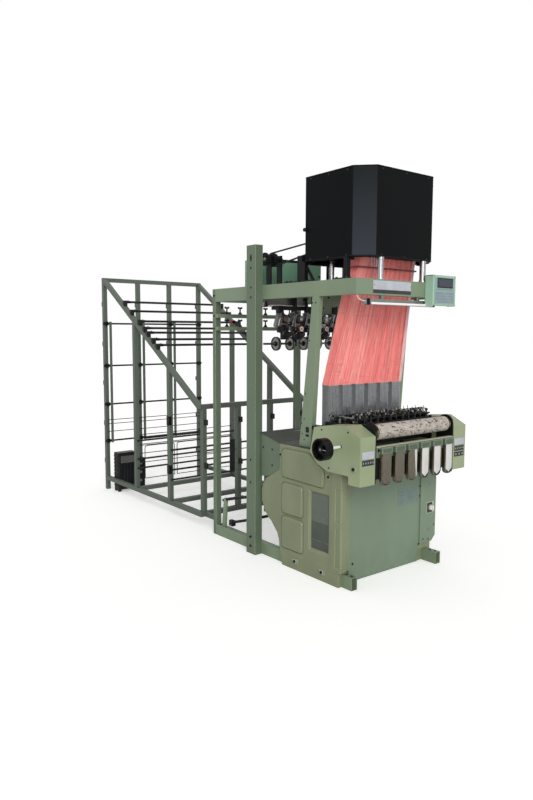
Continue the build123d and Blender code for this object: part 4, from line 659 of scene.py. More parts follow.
class Piece:
    """One object of the scene, put together from small shapes in millimetres."""

    def __init__(self, name: str, slot: str, body: Body = Body.STAND) -> None:
        """Start an empty piece.

        Args:
            name: the piece's name.
            slot: the record's slot that its finish stands for; kept on the piece but not used.
            body: the body that it rides on.
        """
        self.name = name
        self.slot = slot
        self.body = body
        self.mesh = bmesh.new()
        self.looks: list[Look] = []
        self.index = 0

    def use(self, look: Look) -> "Piece":
        """Choose the finish of the shapes that follow.

        Args:
            look: the finish.

        Returns:
            The piece itself.
        """
        if look not in self.looks:
            self.looks.append(look)
        self.index = self.looks.index(look)
        return self

    def add(self, shape: bmesh.types.BMesh) -> None:
        """Join a shape to the piece, with the finish in use.

        Args:
            shape: a closed shape, which is freed.
        """
        bmesh.ops.recalc_face_normals(shape, faces=shape.faces[:])
        for face in shape.faces:
            face.material_index = self.index
        carried = bpy.data.meshes.new("carried")
        shape.to_mesh(carried)
        shape.free()
        self.mesh.from_mesh(carried)
        bpy.data.meshes.remove(carried)

    def box(self, one: Spot, other: Spot, bevel: float = 0.0, segments: int = 1,
            tilt: tuple[str, float] | None = None) -> None:
        """Add a block.

        Args:
            one: one of its corners.
            other: the corner across from that one.
            bevel: how much its edges are taken off.
            segments: how many steps the bevel has.
            tilt: an axis and the degrees that it is turned about its middle.
        """
        low, high = (Vector(tuple(map(pick, one, other))) for pick in (min, max))
        turn = Matrix.Rotation(math.radians(tilt[1]), 4, tilt[0]) if tilt else Matrix.Identity(4)
        size = Matrix.Diagonal((*(high - low), 1))
        shape = bmesh.new()
        bmesh.ops.create_cube(shape, size=1.0,
                              matrix=Matrix.Translation((low + high) / 2) @ turn @ size)
        if bevel:
            bevel_edges(shape, shape.edges[:], bevel, segments)
        self.add(shape)

    def rod(self, start: Spot, end: Spot, radius: float, tip: float | None = None,
            sides: int = 12, bevel: float = 0.0) -> None:
        """Add a round bar or a cone.

        Args:
            start: the middle of one end.
            end: the middle of the other end.
            radius: its radius at the start.
            tip: its radius at the end, where that differs.
            sides: how many faces go round it.
            bevel: how much the edges of both ends are taken off.
        """
        run = Vector(end) - Vector(start)
        turn = Vector((0, 0, 1)).rotation_difference(run).to_matrix().to_4x4()
        shape = bmesh.new()
        bmesh.ops.create_cone(shape, cap_ends=True, segments=sides, radius1=radius,
                              radius2=radius if tip is None else tip, depth=run.length,
                              matrix=Matrix.Translation((Vector(start) + Vector(end)) / 2) @ turn)
        if bevel:
            rims = [e for e in shape.edges if len(e.link_faces) == 2
                    and any(len(f.verts) > 4 for f in e.link_faces)]
            bevel_edges(shape, rims, bevel, 2)
        self.add(shape)

    def wire(self, points: list[Spot], radius: float, sides: int = 6) -> None:
        """Add a bent bar of even thickness.

        Args:
            points: where its centreline goes.
            radius: its radius.
            sides: how many faces go round it.
        """
        path = [Vector(p) for p in points]
        ways = [(b - a).normalized() for a, b in zip(path, path[1:])]
        ways = [ways[0]] + [(a + b).normalized() for a, b in zip(ways, ways[1:])] + [ways[-1]]
        turn = Vector((0, 0, 1)).rotation_difference(ways[0]).to_matrix().to_4x4()
        shape = bmesh.new()
        bmesh.ops.create_circle(shape, cap_ends=True, segments=sides, radius=radius,
                                matrix=Matrix.Translation(path[0]) @ turn)
        ends = shape.faces[:]
        for here, there, old, new in zip(path, path[1:], ways, ways[1:]):
            made = bmesh.ops.extrude_face_region(shape, geom=ends)["geom"]
            step = (Matrix.Translation(there) @ old.rotation_difference(new).to_matrix().to_4x4()
                    @ Matrix.Translation(-here))
            bmesh.ops.transform(shape, matrix=step, verts=new_verts(made))
            ends = [f for f in made if isinstance(f, bmesh.types.BMFace)]
        self.add(shape)

    def plate(self, outline: list[Spot], thickness: Spot, bevel: float = 0.0) -> None:
        """Add a flat plate of any outline.

        Args:
            outline: its corners, all in one plane.
            thickness: how far it goes from that plane.
            bevel: how much its edges are taken off.
        """
        shape = bmesh.new()
        face = shape.faces.new([shape.verts.new(p) for p in outline])
        made = bmesh.ops.extrude_face_region(shape, geom=[face])["geom"]
        bmesh.ops.translate(shape, vec=thickness, verts=new_verts(made))
        if bevel:
            bevel_edges(shape, shape.edges[:], bevel, 2)
        self.add(shape)

    def ring(self, inner: float, outer: float, span: Pair, centre: Spot, axis: str = "X",
             tip: float | None = None, sweep: float = 360.0, start: float = 0.0,
             steps: int = 40) -> None:
        """Add a ring, a cap or a part of one, turned about an axis.

        Args:
            inner: its inner radius, 0.1 for a cap without a hole.
            outer: its outer radius where it starts.
            span: where it starts and ends along the axis, from the centre.
            centre: a point on the axis.
            axis: "X", "Y" or "Z".
            tip: its outer radius where it ends, where that differs.
            sweep: how many degrees it goes round.
            start: where it starts, in degrees from the first direction across the axis.
            steps: how many faces go round it.
        """
        out, along = {"X": (1, 0), "Y": (2, 1), "Z": (0, 2)}[axis]
        near, far = span
        shape = bmesh.new()
        corners = []
        for radius, place in ((inner, near), (outer, near), (tip or outer, far), (inner, far)):
            spot = Vector(centre)
            spot[out] += radius
            spot[along] += place
            corners.append(shape.verts.new(spot))
        way = Vector((0, 0, 0))
        way[along] = 1.0
        closed = sweep == 360.0
        if closed:
            edges = [shape.edges.new(pair) for pair in zip(corners, corners[1:] + corners[:1])]
            geometry = corners + edges
        else:
            geometry = [shape.faces.new(corners)]
        turn = Matrix.Rotation(math.radians(start), 3, way)
        bmesh.ops.rotate(shape, cent=centre, matrix=turn, verts=corners)
        bmesh.ops.spin(shape, geom=geometry, cent=centre, axis=way, angle=math.radians(sweep),
                       steps=steps, use_merge=closed, use_duplicate=False)
        bmesh.ops.remove_doubles(shape, verts=shape.verts[:], dist=WELD_MM)
        self.add(shape)

    def bolt(self, place: Spot, way: Spot, radius: float = 7.0, head: float = 4.0) -> None:
        """Add a screw: a washer in steel under a dark round head.

        Args:
            place: where it meets the surface.
            way: the direction in which its head points, of length 1.
            radius: its head's radius.
            head: how high the head stands.
        """
        spot, out = Vector(place), Vector(way)
        self.use(Look.STEEL).rod(spot, spot + WASHER_MM * out, radius * WASHER_SHARE,
                                 sides=16)
        self.use(Look.MOULDED).rod(spot + out, spot + head * out, radius, sides=12, bevel=1.0)

    def finish(self) -> bpy.types.Object:
        """Make the object, at the origin with its place in its mesh.

        Returns:
            The object.
        """
        bmesh.ops.scale(self.mesh, vec=(MM, MM, MM), verts=self.mesh.verts[:])
        data = bpy.data.meshes.new(self.name)
        self.mesh.to_mesh(data)
        self.mesh.free()
        for look in self.looks:
            data.materials.append(material_of(look))
        return hand_over(data, self.body)


class Strands:
    """Many fine taut cords or wires as one object, each with its own finish."""

    def __init__(self, name: str, slot: str, radius: float, looks: tuple[Look, ...]) -> None:
        """Start an empty bunch.

        Args:
            name: the piece's name.
            slot: the record's slot that its finish stands for; kept on the bunch but not used.
            radius: the radius of one strand.
            looks: the finishes that its strands take.
        """
        self.slot = slot
        self.looks = looks
        self.curve = bpy.data.curves.new(name, "CURVE")
        self.curve.dimensions = "3D"
        self.curve.bevel_depth = radius * MM
        self.curve.bevel_resolution = 0
        self.curve.use_fill_caps = True
        for look in looks:
            self.curve.materials.append(material_of(look))

    def run(self, points: list[Spot], look: Look) -> None:
        """Add one strand.

        Args:
            points: where it goes.
            look: its finish.
        """
        spline = self.curve.splines.new("POLY")
        spline.points.add(len(points) - 1)
        for point, place in zip(spline.points, points):
            point.co = (*(c * MM for c in place), 1.0)
        spline.material_index = self.looks.index(look)

    def finish(self) -> bpy.types.Object:
        """Make the strands a mesh object.

        Returns:
            The object.
        """
        name = self.curve.name
        drawn = bpy.data.objects.new(name + ".line", self.curve)
        data = bpy.data.meshes.new_from_object(drawn)
        bpy.data.objects.remove(drawn)
        data.name = name
        return hand_over(data, Body.STAND)


def arc(centre: Spot, radius: float, start: float, end: float, steps: int) -> list[Spot]:
    """Give points on an upright circle's arc, facing the weaver.

    Args:
        centre: the circle's middle.
        radius: its radius.
        start: the first angle in degrees, from straight up.
        end: the last angle in degrees.
        steps: how many parts it has.

    Returns:
        The points in order.
    """
    x, y, z = centre
    angles = [math.radians(start + (end - start) * step / steps) for step in range(steps + 1)]
    return [(x + radius * math.sin(a), y, z + radius * math.cos(a)) for a in angles]


@dataclass
class SideCasting:
    """Window plates, screws and painted shadow lines round the raised pads on the two cast sides.
    """

    face_x: float = 480.0
    window_x: float = 462.0
    window_y: Pair = (-198.0, -28.0)
    window_z: tuple[float, ...] = (198.0, 262.0, 392.0, 584.0)
    window_looks: tuple[Look, ...] = (Look.CHART_DARK, Look.CHART_DARK, Look.CHART)
    strip: Pair = (6.5, 1.5)
    bosses: tuple[Spot, ...] = ((488.0, 282.0, 797.0), (488.0, -210.0, 719.0))
    feet_y: Pair = (-153.0, 120.0)
    feet_x: Pair = (486.0, 489.0)
    rear_x: Pair = (474.0, 476.5)
    rear_holes: tuple[Pair, ...] = ((496.0, 818.0), (391.0, 815.0), (391.0, 700.0))
    eye: Pair = (232.0, 818.0)
    pads: tuple[tuple[Pair, ...], ...] = (
        ((272.0, 847.0), (-14.0, 848.0), (-167.0, 763.0), (-165.0, 628.0), (272.0, 636.0)),
        ((272.0, 606.0), (42.0, 606.0), (42.0, 378.0), (272.0, 378.0)),
        ((272.0, 366.0), (39.0, 366.0), (39.0, 128.0), (272.0, 128.0)))
    pad_corner: float = 26.0
    groove_radius: float = 2.6

    def build(self) -> None:
        """Build the left side's piece and the right side's."""
        for side, name in zip(SIDES, ("left_casting_fittings", "right_casting_fittings")):
            piece = Piece(name, "casting_green")
            self.chart(piece, side)
            self.screws(piece, side)
            self.grooves(piece, side)
            piece.finish()

    def chart(self, piece: Piece, side: int) -> None:
        """Add the plate in the window, in three fields with steel strips between them.

        Args:
            piece: the piece that gets it.
            side: -1 for the left, 1 for the right.
        """
        (near, far), back = self.window_y, self.window_x
        rows = zip(self.window_looks, self.window_z, self.window_z[1:])
        for index, (look, low, high) in enumerate(rows):
            piece.use(look).box((side * back, near, low + 1),
                                (side * (back + 4.0 + index), far, high - 1), 0.5)
        proud, half = self.strip
        for z in self.window_z[1:3]:
            piece.use(Look.STEEL).box((side * back, near, z - half),
                                      (side * (back + proud), far, z + half), 0.4)

    def grooves(self, piece: Piece, side: int) -> None:
        """Add a dark line where the raised pads meet the casting: a painted shadow of the pads'
        edges.

        Args:
            piece: the piece that gets them.
            side: -1 for the left, 1 for the right.
        """
        x = side * (self.face_x + 0.6)
        for pad in self.pads:
            rounded = []
            for before, here, after in zip(pad[-1:] + pad[:-1], pad, pad[1:] + pad[:1]):
                spot = Vector((x, *here))
                back, ahead = ((Vector((x, *corner)) - spot).normalized() * self.pad_corner
                               for corner in (before, after))
                rounded += [spot + back, spot + 0.3 * (back + ahead), spot + ahead]
            # Painted shadow: a thin dark wire round the pad's outline.
            piece.use(Look.CASTING_SHADE).wire(rounded + rounded[:1], self.groove_radius)

    def screws(self, piece: Piece, side: int) -> None:
        """Add the screws in the bosses and feet, the rear holes and the ring of the eye.

        Args:
            piece: the piece that gets them.
            side: -1 for the left, 1 for the right.
        """
        out = (side, 0.0, 0.0)
        for x, y, z in self.bosses:
            piece.bolt((side * x, y, z), out, 8.5)
        inner, outer = (side * x for x in self.feet_x)
        for y in self.feet_y:
            piece.use(Look.LABEL_PALE).box((inner, y - 18, 50), (outer, y + 18, 78), 1.0)
            piece.bolt((outer, y, 64), out, 9.0, 8.0)
        inner, outer = (side * x for x in self.rear_x)
        for y, z in self.rear_holes:
            piece.use(Look.MOULDED).rod((inner, y, z), (outer, y, z), 7.0)
        piece.use(Look.STEEL).ring(17, 23, (0, side * 2.5), (side * self.face_x, *self.eye),
                                   steps=28)


@dataclass
class HeadHousings:
    """Labels, counters and screws on the two housings beside the take-up roller."""

    front_y: float = -528.0
    label_x: Pair = (402.0, 508.0)
    label_z: Pair = (882.0, 928.0)
    counter_z: Pair = (840.0, 876.0)
    lower_z: Pair = (801.0, 834.0)
    cap: Spot = (531.0, -476.0, 817.0)
    side_x: float = 523.0
    side_screws: tuple[Pair, ...] = ((-420.0, 1040.0), (-180.0, 1030.0), (-250.0, 790.0))

    def build(self) -> None:
        """Build both sides' pieces."""
        for side, name in zip(SIDES, ("left_housing_fittings", "right_housing_fittings")):
            piece = Piece(name, "housing_green")
            out = (side, 0.0, 0.0)
            self.plate(piece, side, self.label_z, Look.LABEL_PALE)
            self.counter(piece, side, self.counter_z, 5, 8.0)
            if side > 0:
                self.counter(piece, side, self.lower_z, 3, 12.0)
            x, y, z = self.cap
            piece.bolt((side * x, y, z), out, 10.0, 6.0)
            for y, z in self.side_screws:
                piece.bolt((side * self.side_x, y, z), out, 5.0, 3.0)
            piece.finish()

    def plate(self, piece: Piece, side: int, z: Pair, look: Look) -> None:
        """Add a bare plate to the front face.

        Args:
            piece: the piece that gets it.
            side: -1 for the left, 1 for the right.
            z: its lower and upper edge.
            look: its finish.
        """
        near, far = self.label_x
        piece.use(look).box((side * near, self.front_y - 2, z[0]),
                            (side * far, self.front_y, z[1]), 0.8)

    def counter(self, piece: Piece, side: int, z: Pair, count: int, width: float) -> None:
        """Add a dark plate with a row of blank counter windows.

        Args:
            piece: the piece that gets them.
            side: -1 for the left, 1 for the right.
            z: the plate's lower and upper edge.
            count: how many windows there are.
            width: how wide one is.
        """
        self.plate(piece, side, z, Look.LABEL_BLACK)
        left, right = sorted(side * x for x in self.label_x)
        middle = (z[0] + z[1]) / 2
        for k in range(count):
            x = left + (right - left) / count * (k + 0.5)
            piece.use(Look.DIGIT_WHITE).box((x - width / 2, self.front_y - 3.0, middle - 6),
                                            (x + width / 2, self.front_y - 2, middle + 6), 0.8)


@dataclass
class FrontPanel:
    """Labels and screws on the front panel and its switch box, and the bolts round them."""

    panel_y: float = -281.0
    box_y: float = -291.0
    label_x: Pair = (120.0, 328.0)
    label_z: Pair = (446.0, 562.0)
    switch: Pair = (459.0, 386.0)
    panel_screws: tuple[Pair, ...] = ((-324.0, 122.0), (-324.0, 700.0), (340.0, 700.0),
                                      (352.0, 555.0), (352.0, 485.0), (352.0, 129.0))
    box_screws: tuple[Pair, ...] = ((446.0, 150.0), (390.0, 160.0), (505.0, 250.0),
                                    (390.0, 690.0), (505.0, 690.0))
    box_labels_z: Pair = (548.0, 209.0)
    seam: tuple[Spot, Spot] = ((353.0, -292.2, 131.0), (379.0, -280.5, 704.0))
    rail_x: float = 424.5
    rail_top: float = 85.0

    def build(self) -> None:
        """Build the pieces."""
        piece = Piece("front_panel_fittings", "panel_mint")
        (left, right), (low, high), y = self.label_x, self.label_z, self.panel_y
        piece.use(Look.CHART_BLUE).box((left, y - 1.5, low), (right, y, high), 0.5)
        for x, z in self.panel_screws:
            piece.bolt((x, y, z), FRONT, 6.5, 4.0)
        (x, z), y = self.switch, self.box_y
        piece.use(Look.RAIL_CREAM).box((x - 40, y - 1.5, z - 42), (x + 40, y, z + 42), 0.6)
        piece.use(Look.LABEL_BLACK).box((x - 35, y - 3.5, z - 37), (x + 24, y - 1.5, z + 37), 1.2)
        for z in self.box_labels_z:
            piece.use(Look.CHART_BLUE).box((434.0, y - 1.2, z), (462.0, y, z + 26), 0.4)
        for x, z in self.box_screws:
            piece.bolt((x, y, z), FRONT, 5.0, 3.0)
        piece.use(Look.PANEL_MINT).box(*self.seam, 1.0)
        piece.finish()
        self.rail_bolts()

    def rail_bolts(self) -> None:
        """Build the black plug on top of the left pillar and the bolts on the floor rails."""
        piece = Piece("pillar_and_rail_bolts", "frame_green")
        piece.use(Look.MOULDED).ring(0.1, 11, (0, 3), (-460, -300, 765), "Z", tip=9, steps=20)
        for side in SIDES:
            for y, radius, head in ((-375.0, 6.5, 6.0), (-330.0, 6.5, 6.0), (700.0, 8.0, 7.0),
                                    (1120.0, 8.0, 7.0)):
                piece.bolt((side * self.rail_x, y, self.rail_top), UP, radius, head)
        piece.finish()


@dataclass
class TakeUp:
    """The roller's end rings and guards, and the chutes' covers, screws and webs."""

    centre: Spot = (0.0, -470.0, 1032.0)
    chute_low: float = 708.0
    chute_high: float = 886.0
    plain_chutes: int = 3
    web_y: float = -551.5
    half_web_y: float = -555.2
    bar_screws: int = 7
    screw_reach: float = 366.0

    def build(self) -> None:
        """Build the pieces."""
        self.rings()
        self.guards()
        self.chutes()
        self.webs()

    def rings(self) -> None:
        """Build the rings that turn with the roller."""
        piece = Piece("roller_end_rings", "roller_cream", Body.ROLLER)
        for side in SIDES:
            for look, near, far, radius in ((Look.RAIL_CREAM, 341, 348, 50.8),
                                            (Look.MOULDED, 348, 356, 51.2),
                                            (Look.BRASS, 356, 362.5, 50.6)):
                piece.use(look).ring(44, radius, (side * near, side * far), self.centre)
            piece.use(Look.MOULDED).ring(12, 40, (side * 362, side * 366), self.centre, tip=34)
        piece.finish()

    def guards(self) -> None:
        """Build the curved guards over the roller's ends, and the pale rail and screws below."""
        piece = Piece("roller_guards", "bracket_black")
        for side in SIDES:
            near, far = sorted((side * 368, side * 380))
            piece.use(Look.BRACKET_BLACK).ring(56.5, 63, (near, far), self.centre, sweep=170.0,
                                               start=-10.0, steps=24)
            for y in (-520.0, -420.0):
                piece.bolt((side * 391.0, y, 960.0), (side, 0.0, 0.0), 6.0, 4.0)
        piece.use(Look.RAIL_CREAM).box((-379, -531, 945), (379, -503, 950), 1.0)
        for k in range(self.bar_screws):
            x = min(self.screw_reach, max(-self.screw_reach, HEAD_PITCH * (k - 3)))
            piece.bolt((x, -530.0, 926.0), FRONT, 7.5, 6.0)
        piece.finish()

    def chutes(self) -> None:
        """Build the rounded covers of the left chutes, the brass edges and the green clips."""
        piece = Piece("chute_covers", "steel")
        piece.use(Look.BRACKET_BLACK).box((-378, -526, 742), (378, -520, 903), 1.5)
        piece.box((379, -524, 700), (391, -518, 900), 1.0)
        for x in HEADS:
            for edge in (x - 42.0, x + 42.0):
                piece.use(Look.BRASS).rod((edge, -551, self.chute_low + 24),
                                          (edge, -551, self.chute_high), 1.6, sides=6)
        for x in HEADS[:self.plain_chutes]:
            angles = [math.radians(a) for a in range(180, 361, 18)]
            outline = [(x + 39 * math.cos(a), -550.0, self.chute_low + 36 + 34 * math.sin(a))
                       for a in angles]
            outline += [(x + 39, -550.0, 904.0), (x - 39, -550.0, 904.0)]
            piece.use(Look.CHUTE_BROWN).plate(outline, (0, -5.0, 0), 2.2)
        for x in HEADS:
            # The clips take the darker copy of the frame green, painted shade.
            piece.use(Look.POST_GREEN).box((x - 38, -556, 908), (x + 38, -554.6, 940), 0.5)
        piece.finish()

    def webs(self) -> None:
        """Build the white webs: over the right chutes, half over the third, and to the roller."""
        piece = Piece("webbing", "roller_cream").use(Look.TAPE_WHITE)
        top, tip = self.chute_high + 16, self.chute_low + 8
        y = self.web_y
        for x in HEADS[self.plain_chutes:]:
            piece.plate([(x - 33, y, top), (x + 33, y, top), (x + 33, y, tip + 22),
                         (x, y, tip - 4), (x - 33, y, tip + 22)], (0, -2.0, 0), 0.3)
        x, y = HEADS[self.plain_chutes - 1], self.half_web_y
        piece.plate([(x + 14, y, top), (x + 36, y, top), (x + 36, y, tip + 14),
                     (x + 30, y, tip + 6)], (0, -0.7, 0), 0.1)
        for x in HEADS:
            piece.box((x - 32, -400, 1037), (x + 32, -226, 1038.4), 0.3)
        piece.finish()


@dataclass
class WeavingZone:
    """The small black and bright parts between the roller and the heddles, and the warp."""

    seed: int = 11
    bar_half: float = 388.0
    bars: tuple[Pair, ...] = ((-318.0, 1092.0), (-140.0, 1070.0), (-250.0, 1118.0),
                              (-190.0, 1098.0))
    pins: tuple[Pair, ...] = ((-22.0, -200.0), (18.0, -236.0), (47.0, -288.0))
    side_parts: int = 12
    sleeves: int = 26
    teeth: int = 22
    levers_per_head: int = 18
    knobs_per_head: int = 6
    yarns_per_head: int = 20

    def build(self) -> None:
        """Build the parts of the six heads and the warp through them."""
        rng = random.Random(self.seed)
        piece = Piece("weaving_head_parts", "mechanism")
        for x in HEADS:
            self.carrier(piece, x)
            self.levers(piece, x, rng)
            self.springs(piece, x, rng)
        for bar in self.bars:
            piece.use(Look.MOULDED).rod((-self.bar_half, *bar), (self.bar_half, *bar), 5.5,
                                        sides=10)
        for side in SIDES:
            self.wall(piece, side, rng)
        for x in HEADS:
            for offset, y in self.pins:
                place = x + offset
                piece.use(Look.LAMP_GREY).rod((place, y, 1060), (place, y, 1142), 2.4, sides=8)
        for k in range(self.sleeves):
            x = -375.0 + 30.0 * k
            piece.use(Look.MOULDED).rod((x, -250, 1118), (x + 9, -250, 1118), 9.0, bevel=1.0)
        piece.finish()
        self.warp()

    def wall(self, piece: Piece, side: int, rng: random.Random) -> None:
        """Add the black wall plates on one side, with small levers inside them.

        Args:
            piece: the piece that gets them.
            side: -1 for the left, 1 for the right.
            rng: the seeded numbers.
        """
        piece.use(Look.BRACKET_BLACK)
        for inner, outer, front, back, low, high in ((382, 391, -344, -70, 905, 1062),
                                                     (382, 391, -70, 60, 878, 1010),
                                                     (382, 446, -58, 118, 1004, 1030)):
            piece.box((side * inner, front, low), (side * outer, back, high), 3.0)
        for _ in range(self.side_parts):
            x = side * rng.uniform(350, 386)
            y, z = rng.uniform(-330, -90), rng.uniform(1052, 1096)
            look = rng.choice((Look.MOULDED, Look.MECHANISM, Look.BRACKET_BLACK))
            piece.use(look).box((x - 4, y - 24, z - 7), (x + 4, y + 24, z + 7), 1.5, 1,
                                ("X", rng.uniform(-40, 40)))

    def carrier(self, piece: Piece, x: float) -> None:
        """Add a head's carrier, posts and comb.

        Args:
            piece: the piece that gets them.
            x: the head's middle.
        """
        piece.use(Look.BRACKET_BLACK).box((x - 56, -344, 1033), (x + 56, -306, 1066), 4.0, 2)
        piece.box((x - 58, -180, 985), (x + 58, -150, 1078), 3.0)
        piece.box((x - 60, -128, 940), (x + 60, -84, 1052), 3.0)
        piece.box((x + 42, -300, 1032), (x + 56, -212, 1100), 3.0)
        for post in (x - 34.0, x + 34.0):
            piece.use(Look.MECHANISM).rod((post, -325, 1060), (post, -325, 1112), 5.0)
            piece.use(Look.MOULDED).rod((post, -325, 1112), (post, -325, 1126), 8.5, sides=14,
                                        bevel=1.5)
            piece.bolt((post, -344.0, 1047.0), FRONT, 6.0, 5.0)
        for k in range(self.teeth):
            tooth = x - 37.0 + 3.5 * k
            piece.use(Look.STEEL).box((tooth - 0.8, -228, 1002), (tooth + 0.8, -222, 1080))
        piece.use(Look.CHROME).wire(arc((x - 8, -270, 1064), 44, 20, 170, 10), 2.6)

    def levers(self, piece: Piece, x: float, rng: random.Random) -> None:
        """Add a head's tilted levers, links and knurled knobs.

        Args:
            piece: the piece that gets them.
            x: the head's middle.
            rng: the seeded numbers.
        """
        for _ in range(self.levers_per_head):
            place = x + rng.uniform(-58, 58)
            y, z = rng.uniform(-318, -80), rng.uniform(1030, 1104)
            look = rng.choice((Look.STEEL, Look.BRACKET_BLACK, Look.MECHANISM, Look.MOULDED,
                               Look.MOULDED))
            tilt = (rng.choice("XY"), rng.uniform(-50, 50))
            piece.use(look).box((place - 4, y - 22, z - 5), (place + 4, y + 22, z + 5), 1.2, 1,
                                tilt)
            look = rng.choice((Look.CHROME, Look.MOULDED, Look.MECHANISM))
            piece.use(look).rod((place - 8, y, z), (place + 8, y, z), 6.0, sides=10)
        for _ in range(self.knobs_per_head):
            place = x + rng.uniform(-46, 46)
            y, top = rng.uniform(-320, -260), rng.uniform(1100, 1130)
            piece.use(Look.MOULDED).rod((place, y, 1060), (place, y, top), 3.0, sides=8)
            piece.use(Look.STEEL).rod((place, y, top), (place, y, top + 12), 7.0, 5.0, 10)

    def springs(self, piece: Piece, x: float, rng: random.Random) -> None:
        """Add a head's return springs and thin bent guides.

        Args:
            piece: the piece that gets them.
            x: the head's middle.
            rng: the seeded numbers.
        """
        for offset in (-44.0, 44.0):
            turns = [(x + offset + 5 * math.cos(k * math.pi / 3),
                      -140 + 5 * math.sin(k * math.pi / 3), 1000 + 2.2 * k) for k in range(44)]
            piece.use(Look.STEEL).wire(turns, 1.3, 4)
        for k in range(3):
            side, y = rng.choice(SIDES), -240 + 24 * k
            piece.use(Look.CHROME).wire([(x + side * 20, y, 1040), (x + side * 30, y - 10, 1090),
                                         (x + side * 12, y - 34, 1122),
                                         (x - side * 8, y - 48, 1112)], 1.8)

    def warp(self) -> None:
        """Build the warp yarns from the heddles through the reeds to the webs."""
        yarns = Strands("warp_yarns", "steel", 0.7, (Look.YARN,))
        for x in HEADS:
            for k in range(self.yarns_per_head):
                across = (k - 9.5) / 9.5
                yarns.run([(x + 38 * across, 290, 952), (x + 38 * across, -33, 1018 + 6 * (k % 3)),
                           (x + 34 * across, -215, 1038), (x + 31 * across, -240, 1038)],
                          Look.YARN)
        yarns.finish()


